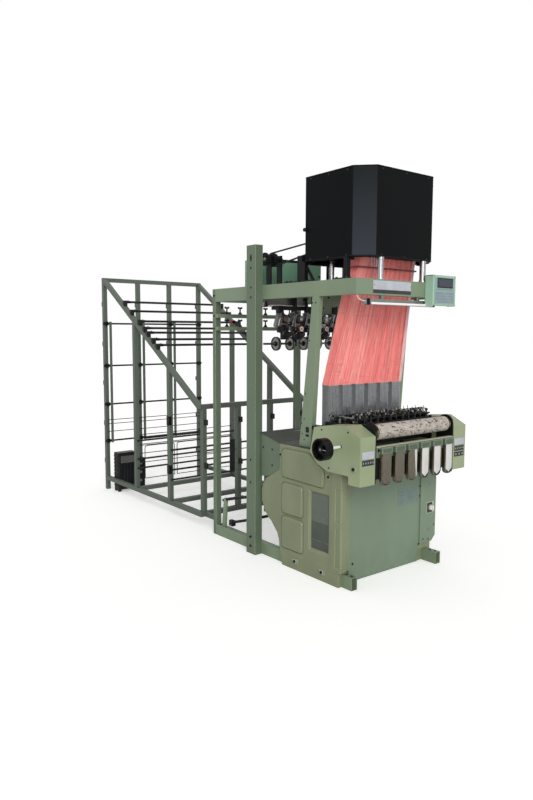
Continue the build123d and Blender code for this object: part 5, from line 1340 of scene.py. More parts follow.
@dataclass
class Harness:
    """The harness cords, the comber board at their neck and the heddle wires below them."""

    seed: int = 5
    neck_pitch: float = 86.7
    neck_z: float = 2150.0
    foot_z: float = 1300.0
    neck_y: Pair = (-250.0, -150.0)
    foot_y: Pair = (-66.0, 0.0)
    neck_half: float = 40.0
    foot_half: float = 42.0
    across: int = 26
    deep: int = 10
    proud: float = 1.2
    fan: Pair = (6.7, 41.0)
    # The plain pink and its copies with painted highlight and painted shade, and how often each is
    # picked.
    tones: tuple[Look, ...] = (Look.HARNESS_PINK, Look.CORD_LIGHT, Look.CORD_DARK)
    tone_shares: tuple[int, ...] = (6, 2, 1)
    # The selvedge's X and how wide it spreads, and its Y, at the neck and at the foot.
    pale_neck: Spot = (238.0, 28.0, -255.0)
    pale_foot: Spot = (330.0, 33.0, -71.0)
    bridging: int = 18
    pale_cords: int = 34
    wires_per_row: int = 18
    # A cord is 0.8 mm thick and is drawn 3 mm thick, so that it shows at all.
    cord_radius: float = 1.5

    def build(self) -> None:
        """Build the pieces."""
        rng = random.Random(self.seed)
        self.cords(rng)
        self.comber()
        self.selvedge(rng)
        self.heddles(rng)

    def tone(self, rng: random.Random) -> Look:
        """Pick a cord's tone, most of them the plain one, the rest with painted highlight or
        painted shade.
        """
        return rng.choices(self.tones, self.tone_shares)[0]

    def depth(self, share: float) -> Pair:
        """Give the Y at the neck and at the foot, from 0 at the front to 1 at the back."""
        return tuple(front + share * (back - front)
                     for front, back in (self.neck_y, self.foot_y))

    def cords(self, rng: random.Random) -> None:
        """Build the cords that lie outermost on the six bundles, and those that bridge them.

        Args:
            rng: the seeded numbers.
        """
        cords = Strands("harness_strands", "harness_pink", self.cord_radius, self.tones)
        neck_side, foot_side = self.neck_half + self.proud, self.foot_half + self.proud
        for k, foot in enumerate(HEADS):
            neck = self.neck_pitch * (k - 2.5)
            for edge, push in enumerate((-self.proud, self.proud)):
                for j in range(self.across):
                    u = -1 + 2 * (j + 0.5) / self.across
                    end = u + rng.uniform(-0.08, 0.08)
                    cords.run(self.path((neck + self.neck_half * u, self.neck_y[edge] + push),
                                        (foot + self.foot_half * end, self.foot_y[edge] + push),
                                        push * rng.uniform(0.5, 2.0)), self.tone(rng))
            for side in SIDES:
                for j in range(self.deep):
                    top, low = self.depth((j + 0.5) / self.deep)
                    cords.run(self.path((neck + side * neck_side, top),
                                        (foot + side * foot_side, low), 0.0), self.tone(rng))
            if k < len(HEADS) - 1:
                self.bridge(cords, neck + self.neck_half, foot + self.foot_half, rng)
        cords.finish()

    def bridge(self, cords: Strands, neck: float, foot: float, rng: random.Random) -> None:
        """Add the cords that fan out between a bundle and the next one.

        Args:
            cords: the bunch that gets them.
            neck: the bundle's right side at the neck.
            foot: the bundle's right side at the heddles.
            rng: the seeded numbers.
        """
        wide_top, wide_low = self.fan
        for j in range(self.bridging):
            u = (j + 0.5) / self.bridging
            for share in (0.05, 0.35, 0.7):
                top, low = self.depth(share)
                cords.run(self.path((neck + wide_top * u, top), (foot + wide_low * u, low),
                                    rng.uniform(-1, 1)), self.tone(rng))

    def path(self, top: Pair, low: Pair, bow: float) -> list[Spot]:
        """Give a cord's run from the neck to a heddle.

        Args:
            top: its X and Y at the neck.
            low: its X and Y at the heddle.
            bow: how far its middle stands out along Y.

        Returns:
            Three points from top to bottom.
        """
        x, y = (top[0] + low[0]) / 2, (top[1] + low[1]) / 2 + bow
        return [(*top, self.neck_z), (x, y, (self.neck_z + self.foot_z) / 2), (*low, self.foot_z)]

    def comber(self) -> None:
        """Build the comber board's frame round the neck and the clip rows above it."""
        piece = Piece("comber_board_frame", "mechanism").use(Look.COMBER)
        for y in (-250.0, -128.0):
            piece.box((-284, y, 2074), (284, y + 8, 2084), 1.5)
        for x in (-292.0, 284.0):
            piece.box((x, -250, 2074), (x + 8, -120, 2084), 1.5)
        for k in range(13):
            x = -258.0 + 43.0 * k
            # The clip rows take the pink cord's painted-shade colour.
            piece.use(Look.CORD_DARK).box((x - 2, -252.5, 2060), (x + 2, -250, 2078), 0.5)
        for x in (-166.0, -142.0, -119.0):
            piece.use(Look.CORD_PALE).box((x - 4, -256, 2086), (x + 4, -253, 2148), 1.0)
        piece.use(Look.MECHANISM).box((-290, -252, 2143), (290, -148, 2150), 1.5)
        piece.finish()

    def selvedge(self, rng: random.Random) -> None:
        """Build the pale cords that run in front of the last bundle and beside it.

        Args:
            rng: the seeded numbers.
        """
        # The pale cords are mixed with pink cords that have a painted highlight.
        looks = (Look.CORD_PALE, Look.CORD_LIGHT)
        pale = Strands("selvedge_cords", "harness_pink", 1.3, looks)
        (neck, neck_wide, neck_y), (foot, foot_wide, foot_y) = self.pale_neck, self.pale_foot
        for j in range(self.pale_cords):
            u = j / (self.pale_cords - 1)
            y = rng.uniform(0.0, 3.0)
            path = self.path((neck + neck_wide * u, neck_y - y),
                             (foot + foot_wide * u, foot_y - y), 0.0)
            pale.run(path, looks[0] if rng.random() < 0.35 + 0.6 * u else looks[1])
        pale.finish()

    def heddles(self, rng: random.Random) -> None:
        """Build the heddle wires in front of and behind each set, with their eyes.

        Args:
            rng: the seeded numbers.
        """
        wires = Strands("heddle_wires", "heddle_steel", 0.9, (Look.CHROME, Look.MECHANISM))
        eyes = Piece("heddle_eyes", "heddle_steel")
        for x in HEADS:
            for y in (-68.0, 2.0):
                for j in range(self.wires_per_row):
                    place, step = x - 40 + 4.7 * j, 9 * (j % 3)
                    wires.run([(place, y, 1300), (place + rng.uniform(-1, 1), y, 1090),
                               (place, y, 880)], Look.CHROME if j % 3 else Look.MECHANISM)
                    eyes.use(Look.CHROME).box((place - 1.6, y - 1.2, 1004 + step),
                                              (place + 1.6, y + 1.2, 1016 + step))
            for z in (1296.0, 884.0):
                eyes.use(Look.HEDDLE_STEEL).box((x - 43, -70, z - 4), (x + 43, 4, z + 4), 1.5)
        wires.finish()
        eyes.finish()


@dataclass
class JacquardHead:
    """Screws, folded edges, painted-reflection sheets on the cut corners and knob of the head, and
    its columns' collars.
    """

    half_x: float = 378.0
    front_y: float = -390.0
    rear_y: float = 270.0
    corner: float = 110.0
    corner_inset: float = 2.0
    corner_z: Pair = (2141.0, 2686.0)
    screw_z: Pair = (2146.0, 2676.0)
    side_screws: Spot = (-230.0, -60.0, 110.0)
    face_screws: Spot = (-220.0, 0.0, 220.0)
    bands_z: Pair = (2690.0, 2137.0)
    band_out: float = 1.2
    knob: Pair = (153.0, 2345.0)
    column_x: float = 207.0
    column_tops: tuple[Pair, ...] = ((-370.0, 2133.0), (80.0, 2148.0))
    bracket_bolts: tuple[float, ...] = (-285.0, -195.0, 45.0, 125.0, 260.0, 298.0)

    def build(self) -> None:
        """Build the pieces."""
        piece = Piece("head_fittings", "head_black")
        x, front, rear = self.half_x, self.front_y, self.rear_y
        piece.use(Look.MOULDED).rod((-x, *self.knob), (-x - 8, *self.knob), 7.0)
        piece.rod((-x - 8, *self.knob), (-x - 22, *self.knob), 13.0, sides=18, bevel=3.0)
        piece.use(Look.MECHANISM)
        for z in self.screw_z:
            for y in self.side_screws:
                for side in SIDES:
                    piece.rod((side * x, y, z), (side * (x + 2), y, z), 4.5, 3.0)
            for place in self.face_screws:
                piece.rod((place, front, z), (place, front - 2, z), 4.5, 3.0)
                piece.rod((place, rear, z), (place, rear + 2, z), 4.5, 3.0)
        for z in self.bands_z:
            self.band(piece, z)
        self.corners(piece)
        piece.finish()
        self.collars()

    def corners(self, piece: Piece) -> None:
        """Add thin sheets on the four cut corners that carry a painted reflection: blue-black,
        lighter than the head and lighter downwards.

        Args:
            piece: the piece that gets them.
        """
        (low, high), inset, cut = self.corner_z, self.corner_inset, self.corner
        for y, back in ((self.front_y, -1), (self.rear_y, 1)):
            for side in SIDES:
                ax, ay = side * (self.half_x - inset), y - back * (cut - inset)
                bx, by = side * (self.half_x - cut + inset), y - back * inset
                piece.use(Look.HEAD_CORNER).plate([(ax, ay, low), (bx, by, low), (bx, by, high),
                                                   (ax, ay, high)], (side * 1.0, back * 1.0, 0))

    def band(self, piece: Piece, z: float) -> None:
        """Add a folded edge round the cover.

        Args:
            piece: the piece that gets it.
            z: its middle height.
        """
        x, front, rear, cut = self.half_x, self.front_y, self.rear_y, self.corner
        ring = [(-x, front + cut), (-x + cut, front), (x - cut, front), (x, front + cut),
                (x, rear - cut), (x - cut, rear), (-x + cut, rear), (-x, rear - cut)]
        grown = [(px + math.copysign(self.band_out, px),
                  py + math.copysign(self.band_out, py + 60), z) for px, py in ring]
        for here, there in zip(grown, grown[1:] + grown[:1]):
            piece.use(Look.BRACKET_BLACK).wire([here, there], 2.2)

    def collars(self) -> None:
        """Build the columns' collars and the brackets' bolts."""
        piece = Piece("column_collars", "chrome")
        for x in (-self.column_x, self.column_x):
            for y, top in self.column_tops:
                for low, high, radius in ((1992, 1999, 27), (1999, 2007, 23), (top - 12, top, 23)):
                    piece.use(Look.CHROME).ring(19.2, radius, (low, high), (x, y, 0), "Z",
                                                steps=28)
        for side in SIDES:
            for y in self.bracket_bolts:
                piece.bolt((side * 424.0, y, 2000.0), UP, 8.0, 8.0)
        piece.finish()


@dataclass
class MainFrame:
    """Name plate, bolts and slots on the posts, beams and struts."""

    plate_x: Pair = (-303.0, 56.0)
    plate_z: Spot = (1903.0, 1926.0, 1983.0)
    beam_y: float = -400.0
    post_x: float = 514.5
    strut_x: float = 449.5
    slots: tuple[Spot, ...] = ((2185.0, 26.0, 11), (2115.0, 9.0, 8), (1975.0, 8.0, 8),
                               (1905.0, 8.0, 8), (714.0, 9.0, 8), (544.0, 9.0, 8))
    post_bolts: tuple[Spot, ...] = ((596.0, 130.0, 7.0), (596.0, 60.0, 7.0))
    rear_bolts: tuple[Spot, ...] = ((1174.0, 1941.0, 6.0), (1174.0, 1681.0, 5.0),
                                    (1174.0, 1781.0, 5.0))
    holes: tuple[Spot, ...] = ((101.0, 1037.0, 5.0), (75.0, 1069.0, 5.0), (93.0, 965.0, 5.0),
                               (73.0, 926.0, 5.0), (62.0, 1240.0, 5.0), (30.0, 1600.0, 5.0),
                               (4.0, 1850.0, 6.0), (-30.0, 1850.0, 6.0))
    windows: tuple[Pair, ...] = ((978.0, 1016.0), (950.0, 966.0))

    def build(self) -> None:
        """Build the piece."""
        piece = Piece("frame_fittings", "frame_green")
        (left, right), (low, middle, high), y = self.plate_x, self.plate_z, self.beam_y
        piece.use(Look.LABEL_PALE).box((left, y - 2, middle), (right, y, high), 0.6)
        piece.use(Look.LABEL_BLACK).box((left, y - 2.4, low), (right, y, middle), 0.6)
        for x in (left + 9, right - 9):
            piece.use(Look.CHROME).rod((x, y - 2, 1954), (x, y - 4, 1954), 4.0)
        for side in SIDES:
            self.posts(piece, side)
        for side in SIDES:
            self.struts(piece, side)
        piece.finish()

    def posts(self, piece: Piece, side: int) -> None:
        """Add the slots and bolts on the posts and beams of one side.

        Args:
            piece: the piece that gets them.
            side: -1 for the left, 1 for the right.
        """
        x, out = side * self.post_x, (side, 0.0, 0.0)
        for z, high, wide in self.slots:
            outline = [(x, 598 + wide * math.cos(a / 6 * math.pi),
                        z + high * math.sin(a / 6 * math.pi)) for a in range(12)]
            piece.use(Look.MOULDED).plate(outline, (side * 1.2, 0, 0))
        for y, z, head in self.post_bolts:
            piece.bolt((x, y, z), out, 9.0, head)
        for y, z, head in self.rear_bolts:
            piece.bolt((side * self.strut_x, y, z), out, 8.0, head)

    def struts(self, piece: Piece, side: int) -> None:
        """Add the holes and windows in the strut that carries a head beam.

        Args:
            piece: the piece that gets them.
            side: -1 for the left, 1 for the right.
        """
        x, out = side * self.strut_x, side * self.strut_x + side * 1.5
        piece.use(Look.MOULDED)
        for y, z, radius in self.holes:
            piece.rod((x, y, z), (out, y, z), radius, sides=10)
        for low, high in self.windows:
            piece.box((x, 26, low), (out, 58, high), 0.3)


@dataclass
class Lamps:
    """End caps, tubes and back plate of the two strip lamps, and the front one's lead."""

    front: tuple[float, ...] = (-353.0, 298.0, -395.0, 1849.0)
    rear: tuple[float, ...] = (-368.0, 54.0, 628.0, 1860.0)
    lead_mm: float = 5.0
    lead_path: tuple[Spot, ...] = ((-434, -388, 1892), (-432, -389, 1880), (-424, -390, 1869),
                                   (-410, -390, 1861), (-392, -390, 1856), (-372, -390, 1853),
                                   (-354, -390, 1852))

    def build(self) -> None:
        """Build the lamps' parts and the front lamp's lead."""
        piece = Piece("lamp_parts", "lamp_grey")
        for left, right, y, z in (self.front, self.rear):
            for x in (left, right - 16):
                piece.use(Look.MOULDED).box((x + 2, y - 17, z - 21), (x + 15, y + 24, z + 20),
                                            3.0, 2)
            start, end, place = left + 16, right - 16, (y - 8, z - 10)
            piece.use(Look.TUBE_WHITE).rod((start, *place), (end, *place), 8.0, sides=16)
            for x in (start, end - 10):
                piece.use(Look.CHROME).rod((x, *place), (x + 10, *place), 8.4, sides=16)
            for x in (left + 150, right - 150):
                piece.use(Look.STEEL).box((x - 10, y + 4, z + 19), (x + 10, y + 20, z + 43), 1.5)
        left, right, y, z = self.rear
        piece.use(Look.LAMP_GREY).box((left, y - 8, z - 4), (right, y - 3, z + 66), 1.5)
        for x in (left + 60, right - 120, right - 40):
            piece.use(Look.MOULDED).rod((x, y - 8, z + 44), (x, y - 14, z + 44), 7.0, sides=10)
        piece.finish()
        self.lead()

    def lead(self) -> None:
        """Build the short lead that comes out of the beam and goes into the lamp's cap."""
        piece = Piece("lamp_lead", "lamp_grey")
        piece.use(Look.KNOB_WHITE).wire(self.lead_path, self.lead_mm / 2, 8)
        lead = piece.finish()


@dataclass
class ControlBox:
    """Screen, keys, membrane panel and edges of the control box."""

    left: float = 201.0
    right: float = 436.0
    front_y: float = -470.0
    back_y: float = -404.0
    low: float = 1838.0
    high: float = 2036.0
    lights: int = 8
    rows: int = 4
    columns: int = 9

    def build(self) -> None:
        """Build the piece."""
        left, right, y, low, high = self.left, self.right, self.front_y, self.low, self.high
        piece = Piece("control_box_front", "box_mint")
        piece.use(Look.PANEL_GREY).box((left + 9, y - 1.5, low + 9), (right - 9, y, high - 9), 0.6)
        piece.use(Look.MOULDED).box((240, y - 5, 1955), (404, y - 1, 2020), 1.5)
        piece.use(Look.SCREEN).box((248, y - 6.5, 1962), (396, y - 4, 2013), 0.8)
        for k in range(self.lights):
            x = 246.0 + 20.5 * k
            piece.use(Look.MOULDED).rod((x, y - 1, 1944), (x, y - 3, 1944), 3.0, sides=8)
        for row in range(self.rows):
            for k in range(self.columns):
                x, z = 224.0 + 21.6 * k, 1858.0 + 18.5 * row
                look = Look.KEY_LILAC if (k + row) % 7 else Look.PANEL_GREY
                piece.use(look).box((x, y - 3.5, z), (x + 17.5, y - 1, z + 13), 1.2, 2)
        for x in (left + 6, right - 6):
            for z in (low + 6, high - 6):
                piece.use(Look.CHROME).rod((x, y, z), (x, y - 2.5, z), 3.4, sides=8)
        piece.use(Look.BOX_MINT)
        for x0, x1, z0 in ((left - 3, left + 2, low - 3), (right - 2, right + 3, low - 3),
                           (left - 3, right + 3, high - 2)):
            piece.box((x0, y, z0), (x1, self.back_y, high + 3), 1.0)
        piece.finish()


@dataclass
class DriveGear:
    """Bearings and screws of the jacquard's drive, and the electrical box's doors."""

    shaft: Pair = (587.0, 2183.0)
    bearings_x: Spot = (-362.0, -252.0, 252.0)
    screws_x: tuple[float, ...] = (-330.0, -180.0, 0.0, 180.0)
    screws: Pair = (600.0, 2000.0)
    pulley_x: float = -400.0
    hub_screws: int = 4
    doors_x: tuple[Pair, ...] = ((-300.0, -110.0), (-106.0, 84.0), (88.0, 300.0))
    doors_y: float = 744.0
    hinges_z: Pair = (2030.0, 2170.0)

    def build(self) -> None:
        """Build the pieces."""
        y, z = self.shaft
        piece = Piece("drive_bearings", "bracket_black")
        for x in self.bearings_x:
            piece.use(Look.FEEDER_BLACK).ring(16, 27, (0, 9), (x, y, z), tip=24, steps=24)
        for x in self.screws_x:
            piece.bolt((x, *self.screws), UP, 7.0, 6.0)
        piece.finish()
        turning = Piece("pulley_caps", "steel", Body.DRIVE)
        for x, way in ((self.pulley_x, -1), (252.0, 1)):
            turning.use(Look.STEEL).ring(0.1, 14, (0, way * 4), (x, y, z), tip=12, steps=20)
        for k in range(self.hub_screws):
            angle = math.radians(45 + 90 * k)
            spot = (y + 30 * math.cos(angle), z + 30 * math.sin(angle))
            turning.use(Look.CHROME).rod((self.pulley_x, *spot), (self.pulley_x - 4, *spot), 5.0,
                                         sides=8)
        turning.finish()
        self.doors()

    def doors(self) -> None:
        """Build the electrical box's doors, hinges and locks."""
        piece = Piece("electrical_box_doors", "ebox_green")
        y = self.doors_y
        for left, right in self.doors_x:
            piece.use(Look.EBOX_GREEN).box((left, y, 2004), (right, y + 6, 2198), 2.0)
            piece.use(Look.MOULDED).rod((right - 16, y, 2100), (right - 16, y - 6, 2100), 8.0,
                                        sides=14, bevel=1.0)
            for z in self.hinges_z:
                piece.use(Look.STEEL).rod((left + 5, y - 2, z - 12), (left + 5, y - 2, z + 12),
                                          3.5)
        piece.finish()


@dataclass
class WeftFeeders:
    """The feeders' motors, face plates, brake rings and arms, and the feed discs' rims."""

    seed: int = 3
    places: tuple[float, ...] = (-262.0, -130.0, 0.0, 127.0, 262.0)
    # The feeders right of this X reach lower and are busier, as the photograph shows.
    long_from: float = -60.0
    rail_screws: tuple[Pair, ...] = ((84.0, 1930.0), (150.0, 1840.0), (210.0, 1925.0),
                                     (300.0, 1850.0), (372.0, 1925.0))
    disc_pitch: float = 138.0
    disc_axis: Pair = (600, 1568)

    def build(self) -> None:
        """Build the pieces."""
        rng = random.Random(self.seed)
        piece = Piece("weft_feeder_parts", "feeder_black")
        for x in self.places:
            self.unit(piece, x)
            self.arms(piece, x, rng)
        piece.use(Look.STEEL).box((-300, 560, 1700), (300, 570, 1724), 2.0)
        piece.use(Look.FRAME_GREEN).box((60, 552, 1786), (396, 560, 1950), 2.0)
        for x, z in self.rail_screws:
            piece.bolt((x, 552.0, z), FRONT, 8.0, 6.0)
        piece.finish()
        self.discs()

    def unit(self, piece: Piece, x: float) -> None:
        """Add one feeder's motor, face, brake ring and housings.

        Args:
            piece: the piece that gets them.
            x: its middle.
        """
        black = Look.FEEDER_BLACK
        piece.use(black).rod((x, 500, 1752), (x, 580, 1752), 33.0, sides=24, bevel=4.0)
        piece.use(Look.STEEL).rod((x, 492, 1752), (x, 500, 1752), 26.0, sides=24, bevel=2.0)
        piece.use(Look.CHROME).rod((x, 484, 1752), (x, 492, 1752), 9.0, sides=14)
        piece.use(Look.LAMP_GREY).box((x - 34, 508, 1668), (x + 20, 516, 1722), 3.0)
        piece.use(black).box((x - 42, 516, 1652), (x + 42, 562, 1700), 5.0, 2)
        if x > self.places[0]:
            for look, near, far in ((Look.CERAMIC, 7, 18), (Look.MECHANISM, 2, 7),
                                    (Look.RED, 18, 22)):
                piece.use(look).ring(near, far, (0, 7), (x, 476, 1680), "Y", steps=24)
        piece.use(Look.LAMP_GREY).box((x - 62, 500, 1690), (x - 30, 566, 1796), 9.0, 3,
                                      ("Y", 17.0))
        piece.use(black).box((x - 34, 496, 1600), (x + 30, 532, 1652), 7.0, 2)
        piece.use(Look.MOULDED).rod((x + 38, 500, 1640), (x + 38, 534, 1640), 20.0, sides=18,
                                    bevel=2.0)
        piece.use(Look.MECHANISM).rod((x + 38, 496, 1640), (x + 38, 500, 1640), 13.0, sides=18)
        piece.rod((x, 484, 1680), (x, 510, 1680), 6.0)

    def arms(self, piece: Piece, x: float, rng: random.Random) -> None:
        """Add one feeder's tilted arms, rollers, bent guides and rear lugs.

        Args:
            piece: the piece that gets them.
            x: its middle.
            rng: the seeded numbers.
        """
        low, count = (1535.0, 24) if x > self.long_from else (1605.0, 12)
        for _ in range(count):
            px, py = x + rng.uniform(-60, 60), rng.uniform(484, 524)
            pz = rng.uniform(low, 1800)
            look = rng.choice((Look.CHROME, Look.STEEL, Look.MOULDED, Look.MOULDED,
                               Look.MECHANISM))
            tilt = ("Y", rng.uniform(-60, 60))
            piece.use(look).box((px - 18, py - 3, pz - 3.5), (px + 18, py + 3, pz + 3.5), 1.0, 1,
                                tilt)
            look = rng.choice((Look.CHROME, Look.MOULDED, Look.MECHANISM))
            piece.use(look).rod((px, py - 7, pz), (px, py + 5, pz), 6.0, sides=10)
        piece.use(Look.STEEL).wire([(x - 30, 505, 1650), (x - 44, 490, 1640), (x - 40, 480, 1655),
                                    (x - 20, 478, 1668)], 2.0)
        piece.wire([(x + 26, 505, 1790), (x + 40, 486, 1800), (x + 34, 476, 1790)], 2.0)
        for lug in (x - 14.0, x + 14.0):
            piece.use(Look.FEEDER_BLACK).box((lug - 6, 566, 1750), (lug + 6, 580, 1822), 1.5)

    def discs(self) -> None:
        """Build the bright rims and black hubs that turn with the feed shaft."""
        piece = Piece("feed_disc_rims", "steel", Body.FEED)
        for k in range(len(self.places)):
            centre = (self.disc_pitch * (k - 2), *self.disc_axis)
            for side in SIDES:
                piece.use(Look.MECHANISM).ring(44, 52.5, (side * 6.0, side * 9.0), centre,
                                               steps=36)
                piece.use(Look.MOULDED).ring(8, 20, (side * 6.0, side * 15.0), centre, tip=16,
                                             steps=20)
        piece.finish()


@dataclass
class YarnGuides:
    """The rows of guide pegs on the two bars behind the loom, and their clamp."""

    bar_y: float = 1139.0
    first_x: float = -350.0
    pitch: float = 131.0
    pegs: int = 6
    rows: Pair = (1796.0, 1696.0)

    def build(self) -> None:
        """Build the piece."""
        piece = Piece("yarn_guide_pegs", "rod_black")
        y = self.bar_y
        for z in self.rows:
            for k in range(self.pegs):
                x = self.first_x + self.pitch * k
                piece.use(Look.MOULDED).rod((x, y, z), (x, y, z + 20), 19.0, 6.0)
                piece.rod((x, y, z + 18), (x, y, z + 46), 6.0)
                piece.rod((x - 15, y, z + 50), (x + 15, y, z + 50), 6.5, bevel=1.5)
                for end in (x - 15, x + 15):
                    piece.rod((end, y, z + 44), (end, y, z + 60), 7.0)
        piece.use(Look.RED).box((-332, 1108, 1722), (-282, 1124, 1746), 4.0, 2)
        piece.use(Look.MOULDED).rod((-307, 1096, 1734), (-307, 1108, 1734), 14.0, sides=16,
                                    bevel=2.0)
        piece.use(Look.STEEL).wire([(-332, 1112, 1740), (-372, 1104, 1762), (-396, 1100, 1760)],
                                   3.0)
        piece.finish()


@dataclass
class Creel:
    """Clamps on the creel's posts, fine yarn rails, hoops and the stop motion box's fins."""

    far_posts: tuple[float, ...] = (-467.5, -89.2, 289.2, 667.5)
    near_posts: tuple[float, ...] = (-445.0, -90.0, 265.0, 613.0)
    far_rods: tuple[float, ...] = (515.0, 900.0, 1300.0, 1733.0)
    side_rods: Spot = (330.0, 420.0, 600.0)
    side_clamps: Pair = (422.0, 863.0)
    slant: tuple[float, ...] = (2100.0, 2180.0, 2276.0, 2342.0, 2443.0, 2598.0, 2741.0)
    # Each row: the ends' X, the middle's X, Y, how far the middle sags, the radius, the heights.
    level: tuple[tuple, ...] = (
        (-460, 100, 690, 3150, 3, 4.2, (738.0, 697.0, 616.0)),
        (-450, 120, 690, 2532, 3, 4.0, (655.0, 560.0, 548.0, 470.0, 380.0)))
    near_rail: tuple = (-440, 90, 630, 1385, 2, 4.0, (250.0, 640.0))
    hoops: Spot = (-380.0, -20.0, 330.0)
    hoop_outline: tuple[Pair, ...] = ((0, 225), (0, 520), (6, 540), (30, 546), (300, 546),
                                      (324, 540), (330, 520), (330, 225))
    long_fins: int = 12
    side_fins: int = 9

    def build(self) -> None:
        """Build the pieces."""
        self.clamps()
        self.rails()
        self.fins()

    def slanting(self) -> list[Pair]:
        """Give the Y and Z of the rails that lie on the two slanting side bars."""
        return [(y, 1465 + 0.636 * (y - 2082) + 56) for y in self.slant]

    def clamps(self) -> None:
        """Build the black clamps where the rods meet the posts and side bars."""
        piece = Piece("creel_clamps", "rod_black").use(Look.MOULDED)
        for left in self.far_posts:
            for z in self.far_rods:
                x = min(left + 20, 670.0)
                piece.box((x - 19, 3156, z - 20), (x + 19, 3181, z + 20), 3.0)
                piece.rod((x - 34, 3173, z), (x + 34, 3173, z), 12.0, bevel=1.5)
        for y, z in self.slanting():
            for x in (-414.0, 638.0):
                piece.use(Look.MOULDED).rod((x - 10, y, z), (x + 26, y, z), 13.0, bevel=1.5)
                piece.use(Look.STEEL).rod((x, y, z + 12), (x, y, z + 20), 5.0, sides=8)
        piece.use(Look.MOULDED)
        for z in self.side_clamps:
            piece.box((-473, 1872, z - 44), (-438, 1916, z + 44), 5.0)
            piece.rod((-436, 1894, z), (-470, 1894, z), 14.0, sides=14)
        for x, way in ((-467.5, -1), (707.5, 1)):
            for y in (1893.0, 2540.0):
                for z in self.side_rods:
                    piece.rod((x - 4 * way, y, z), (x - 28 * way, y, z), 11.0)
        piece.finish()

    def sagging(self, piece: Piece, rail: tuple) -> None:
        """Add rails that sag a little in their middle.

        Args:
            piece: the piece that gets them.
            rail: their ends, middle, Y, sag, radius and heights, as in the field "level".
        """
        left, middle, right, y, sag, radius, heights = rail
        for z in heights:
            piece.wire([(left, y, z), (middle, y, z - sag), (right, y, z)], radius)

    def rails(self) -> None:
        """Build the fine yarn rails across the creel, their hoops and their post clamps."""
        piece = Piece("creel_yarn_rails", "rod_black").use(Look.ROD_BLACK)
        for y, z in self.slanting():
            piece.rod((-400, y, z), (640, y, z), 10.8)
        for rail in self.level:
            self.sagging(piece, rail)
        for x in self.hoops:
            hoop = [(x + across, 2500, z) for across, z in self.hoop_outline]
            piece.wire(hoop, 4.0, 8)
            piece.wire([hoop[0], hoop[-1]], 4.0, 8)
        self.sagging(piece, self.near_rail)
        for x in self.near_posts:
            for z in (380.0, 640.0):
                piece.use(Look.MOULDED).box((x + 6, 1378, z - 44), (x + 38, 1406, z + 44), 5.0)
        piece.finish()

    def fins(self) -> None:
        """Build the cooling fins and plates of the stop motion box."""
        piece = Piece("stop_motion_fins", "feeder_black").use(Look.FEEDER_BLACK)
        for k in range(self.long_fins):
            x = -420.0 + 16.6 * k
            piece.box((x - 2.5, 2972, 60), (x + 2.5, 2991, 380), 0.8)
        for k in range(self.side_fins):
            z = 60.0 + 38.0 * k
            piece.box((-436, 2998, z), (-427, 3082, z + 14), 1.0)
        piece.use(Look.STEEL).box((-410, 2968, 300), (-250, 2973, 372), 1.0)
        piece.use(Look.MOULDED).box((-221, 2996, 24), (-120, 3082, 330), 4.0)
        for z in (90.0, 180.0, 270.0):
            piece.use(Look.STEEL).rod((-170, 2996, z), (-170, 2990, z), 14.0, sides=16, bevel=1.5)
        piece.finish()


@dataclass
class Levers:
    """The black treadle lever and the green bracket with its tube behind the loom."""

    side_x: float = -425.0

    def build(self) -> None:
        """Build the piece."""
        x = self.side_x
        black, green = Look.BRACKET_BLACK, Look.FRAME_GREEN
        piece = Piece("treadle_lever", "frame_green")
        piece.use(black).wire([(x, 958, 141), (x, 720, 216), (x, 500, 294)], 11.0, 8)
        piece.box((x - 18, 936, 112), (x + 18, 986, 160), 5.0, 2)
        piece.bolt((x - 18, 960.0, 138.0), LEFT, 10.0, 7.0)
        outline = [(x - 12, y, z) for y, z in ((1090, 85), (1052, 85), (1034, 316), (1064, 322))]
        piece.use(green).plate(outline, (24, 0, 0), 2.0)
        piece.use(black).wire([(x, 1062, 305), (x, 940, 340), (x, 700, 402)], 12.0, 8)
        piece.rod((x - 12, 1075, 300), (x + 190, 1075, 300), 11.0, bevel=1.5)
        piece.use(green).box((x - 10, 690, 85), (x + 10, 720, 400), 3.0)
        piece.finish()


@dataclass
class HandWheel:
    """The hand wheel's hub cap, a pale strip on its face that is a painted highlight, and a sleeve
    on its shaft whose white is a painted highlight.
    """

    face_x: float = -695.0
    centre: Pair = (-356.0, 942.0)
    sleeve_x: Pair = (-648.0, -530.0)

    def build(self) -> None:
        """Build the piece, which turns with the wheel."""
        y, z = self.centre
        x, (near, far) = self.face_x, self.sleeve_x
        piece = Piece("hand_wheel_trim", "wheel_black", Body.WHEEL)
        piece.use(Look.STEEL).ring(0.1, 9, (0, -3), (x, y, z), tip=8, steps=20)
        # Painted highlight: a pale strip across the wheel's face beside the hub.
        piece.use(Look.DIGIT_WHITE).box((x - 3.5, y - 56, z - 2), (x + 0.5, y - 22, z + 2), 0.8)
        # The shaft's sleeve is white for the bright streak along the shaft: a painted highlight.
        piece.use(Look.KNOB_WHITE).rod((near, y, z), (far, y, z), 9.8, sides=20, bevel=1.0)
        piece.finish()


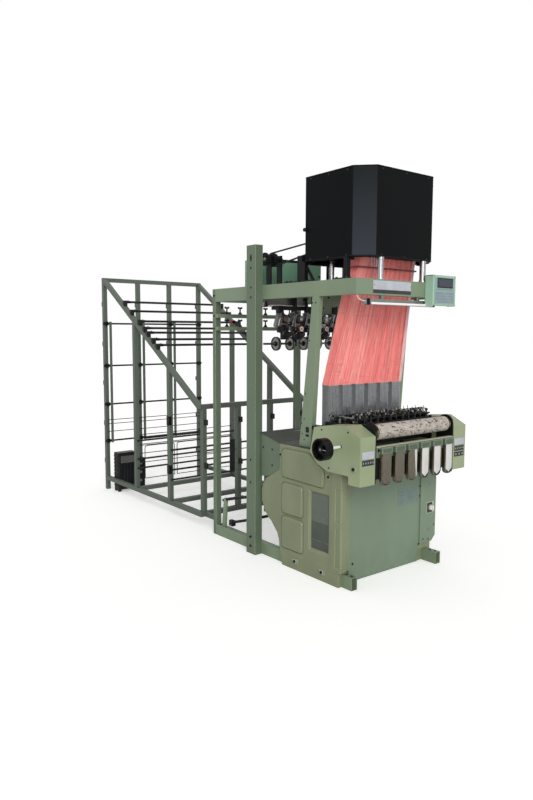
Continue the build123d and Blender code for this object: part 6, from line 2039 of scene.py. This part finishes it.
@dataclass
class Studio:
    """The frame's finishes, the camera, the floor and the lights."""

    camera_place: Spot = (-3.4815, -3.376, 1.661)
    yaw: float = 0.664771
    pitch: float = 0.100956
    roll: float = 0.003737
    focal_px: float = 678.54
    image_height_px: int = 800
    sensor_mm: float = 36.0
    sight_m: float = 200.0
    floor_half_m: float = 60.0
    floor_glow: float = 0.36
    sky_light: float = 0.54
    # Each lamp: its name, energy, the way to it, and its width in radians.
    suns: tuple[tuple, ...] = (("sun", 1.4, (-0.46, -0.74, 0.49), 0.5),
                               ("fill", 0.7, (-0.5, -0.865, 0.05), 0.5))

    def dress_frame(self) -> None:
        """Give every carried-over node the material of its slot, or another finish: a darker copy
        of the frame green with painted shade, or black bar for the creel hooks.
        """
        slots = {part["node"]: part["material_slot"] for part in frame["record"]["subparts"]}
        # Posts, delivery bar and rear cover take the frame green's darker copy, painted shade.
        shaded_and_other_looks = {"posts": Look.POST_GREEN, "delivery_bar": Look.POST_GREEN,
                 "rear_cover": Look.POST_GREEN, "creel_hooks": Look.ROD_BLACK}
        for name, node in frame["nodes"].items():
            material = material_of(shaded_and_other_looks.get(name, Look[slots[name].upper()]))
            for place in node.material_slots:
                place.material = material
            if not node.material_slots:
                node.data.materials.append(material)

    def place_camera(self) -> None:
        """Set the camera where the photograph was taken from."""
        yaw, pitch, roll = self.yaw, self.pitch, self.roll
        ahead = Vector((math.sin(yaw) * math.cos(pitch), math.cos(yaw) * math.cos(pitch),
                        -math.sin(pitch)))
        right = Vector((math.cos(yaw), -math.sin(yaw), 0.0))
        up = right.cross(ahead)
        axes = (math.cos(roll) * right + math.sin(roll) * up,
                -math.sin(roll) * right + math.cos(roll) * up, -ahead)
        data = bpy.data.cameras.new("camera")
        data.sensor_width = self.sensor_mm
        data.lens = self.focal_px * self.sensor_mm / self.image_height_px
        data.clip_end = self.sight_m
        camera = bpy.data.objects.new("camera", data)
        camera.matrix_world = (Matrix.Translation(self.camera_place)
                               @ Matrix(axes).transposed().to_4x4())
        bpy.context.scene.collection.objects.link(camera)
        bpy.context.scene.camera = camera

    def lay_floor(self) -> None:
        """Lay a plain pale floor that shows as white and keeps the object's shadow."""
        shape = bmesh.new()
        bmesh.ops.create_grid(shape, x_segments=1, y_segments=1, size=self.floor_half_m)
        data = bpy.data.meshes.new("floor")
        shape.to_mesh(data)
        shape.free()
        floor = bpy.data.objects.new("floor", data)
        bpy.context.scene.collection.objects.link(floor)
        material = Finish("floor_paint_white", "f2f2f0", 0.9, 0.0, 0.1).build()
        tree = material.node_tree
        shader = tree.nodes["Principled BSDF"]
        shader.inputs["Emission Color"].default_value = (1.0, 1.0, 1.0, 1.0)
        seen = add_node(tree, "LightPath").outputs["Is Camera Ray"]
        lift = add_node(tree, "Math", {"operation": "MULTIPLY", 1: self.floor_glow}, {0: seen})
        tree.links.new(lift.outputs[0], shader.inputs["Emission Strength"])
        data.materials.append(material)

    def light(self) -> None:
        """Set a plain soft world, a low sun from the front left and a level fill beside it."""
        scene = bpy.context.scene
        scene.view_settings.view_transform = "Standard"
        world = bpy.data.worlds.new("world")
        world.use_nodes = True
        scene.world = world
        tree = world.node_tree
        sky = tree.nodes["Background"]
        sky.inputs["Color"].default_value = (1.0, 1.0, 1.0, 1.0)
        path = add_node(tree, "LightPath").outputs
        seen = path["Is Camera Ray"]
        for ray in ("Is Glossy Ray", "Is Transmission Ray"):
            seen = add_node(tree, "Math", {"operation": "MAXIMUM"},
                            {0: seen, 1: path[ray]}).outputs[0]
        strength = add_node(tree, "MapRange", {"To Min": self.sky_light, "To Max": 1.0},
                            {"Value": seen}).outputs["Result"]
        tree.links.new(strength, sky.inputs["Strength"])
        for name, energy, way, width in self.suns:
            lamp = bpy.data.lights.new(name, "SUN")
            lamp.energy = energy
            lamp.angle = width
            sun = bpy.data.objects.new(name, lamp)
            sun.rotation_euler = Vector(way).to_track_quat("Z", "Y").to_euler()
            scene.collection.objects.link(sun)


def main() -> None:
    """Dress the frame, build the pieces in order, and set the studio."""
    studio = Studio()
    studio.dress_frame()
    for assembly in (SideCasting, HeadHousings, FrontPanel, TakeUp, WeavingZone, Harness,
                     JacquardHead, MainFrame, Lamps, ControlBox, DriveGear, WeftFeeders,
                     YarnGuides, Creel, Levers, HandWheel):
        log.info("building %s", assembly.__name__)
        assembly().build()
    studio.place_camera()
    studio.lay_floor()
    studio.light()


if __name__ == "__main__":
    main()
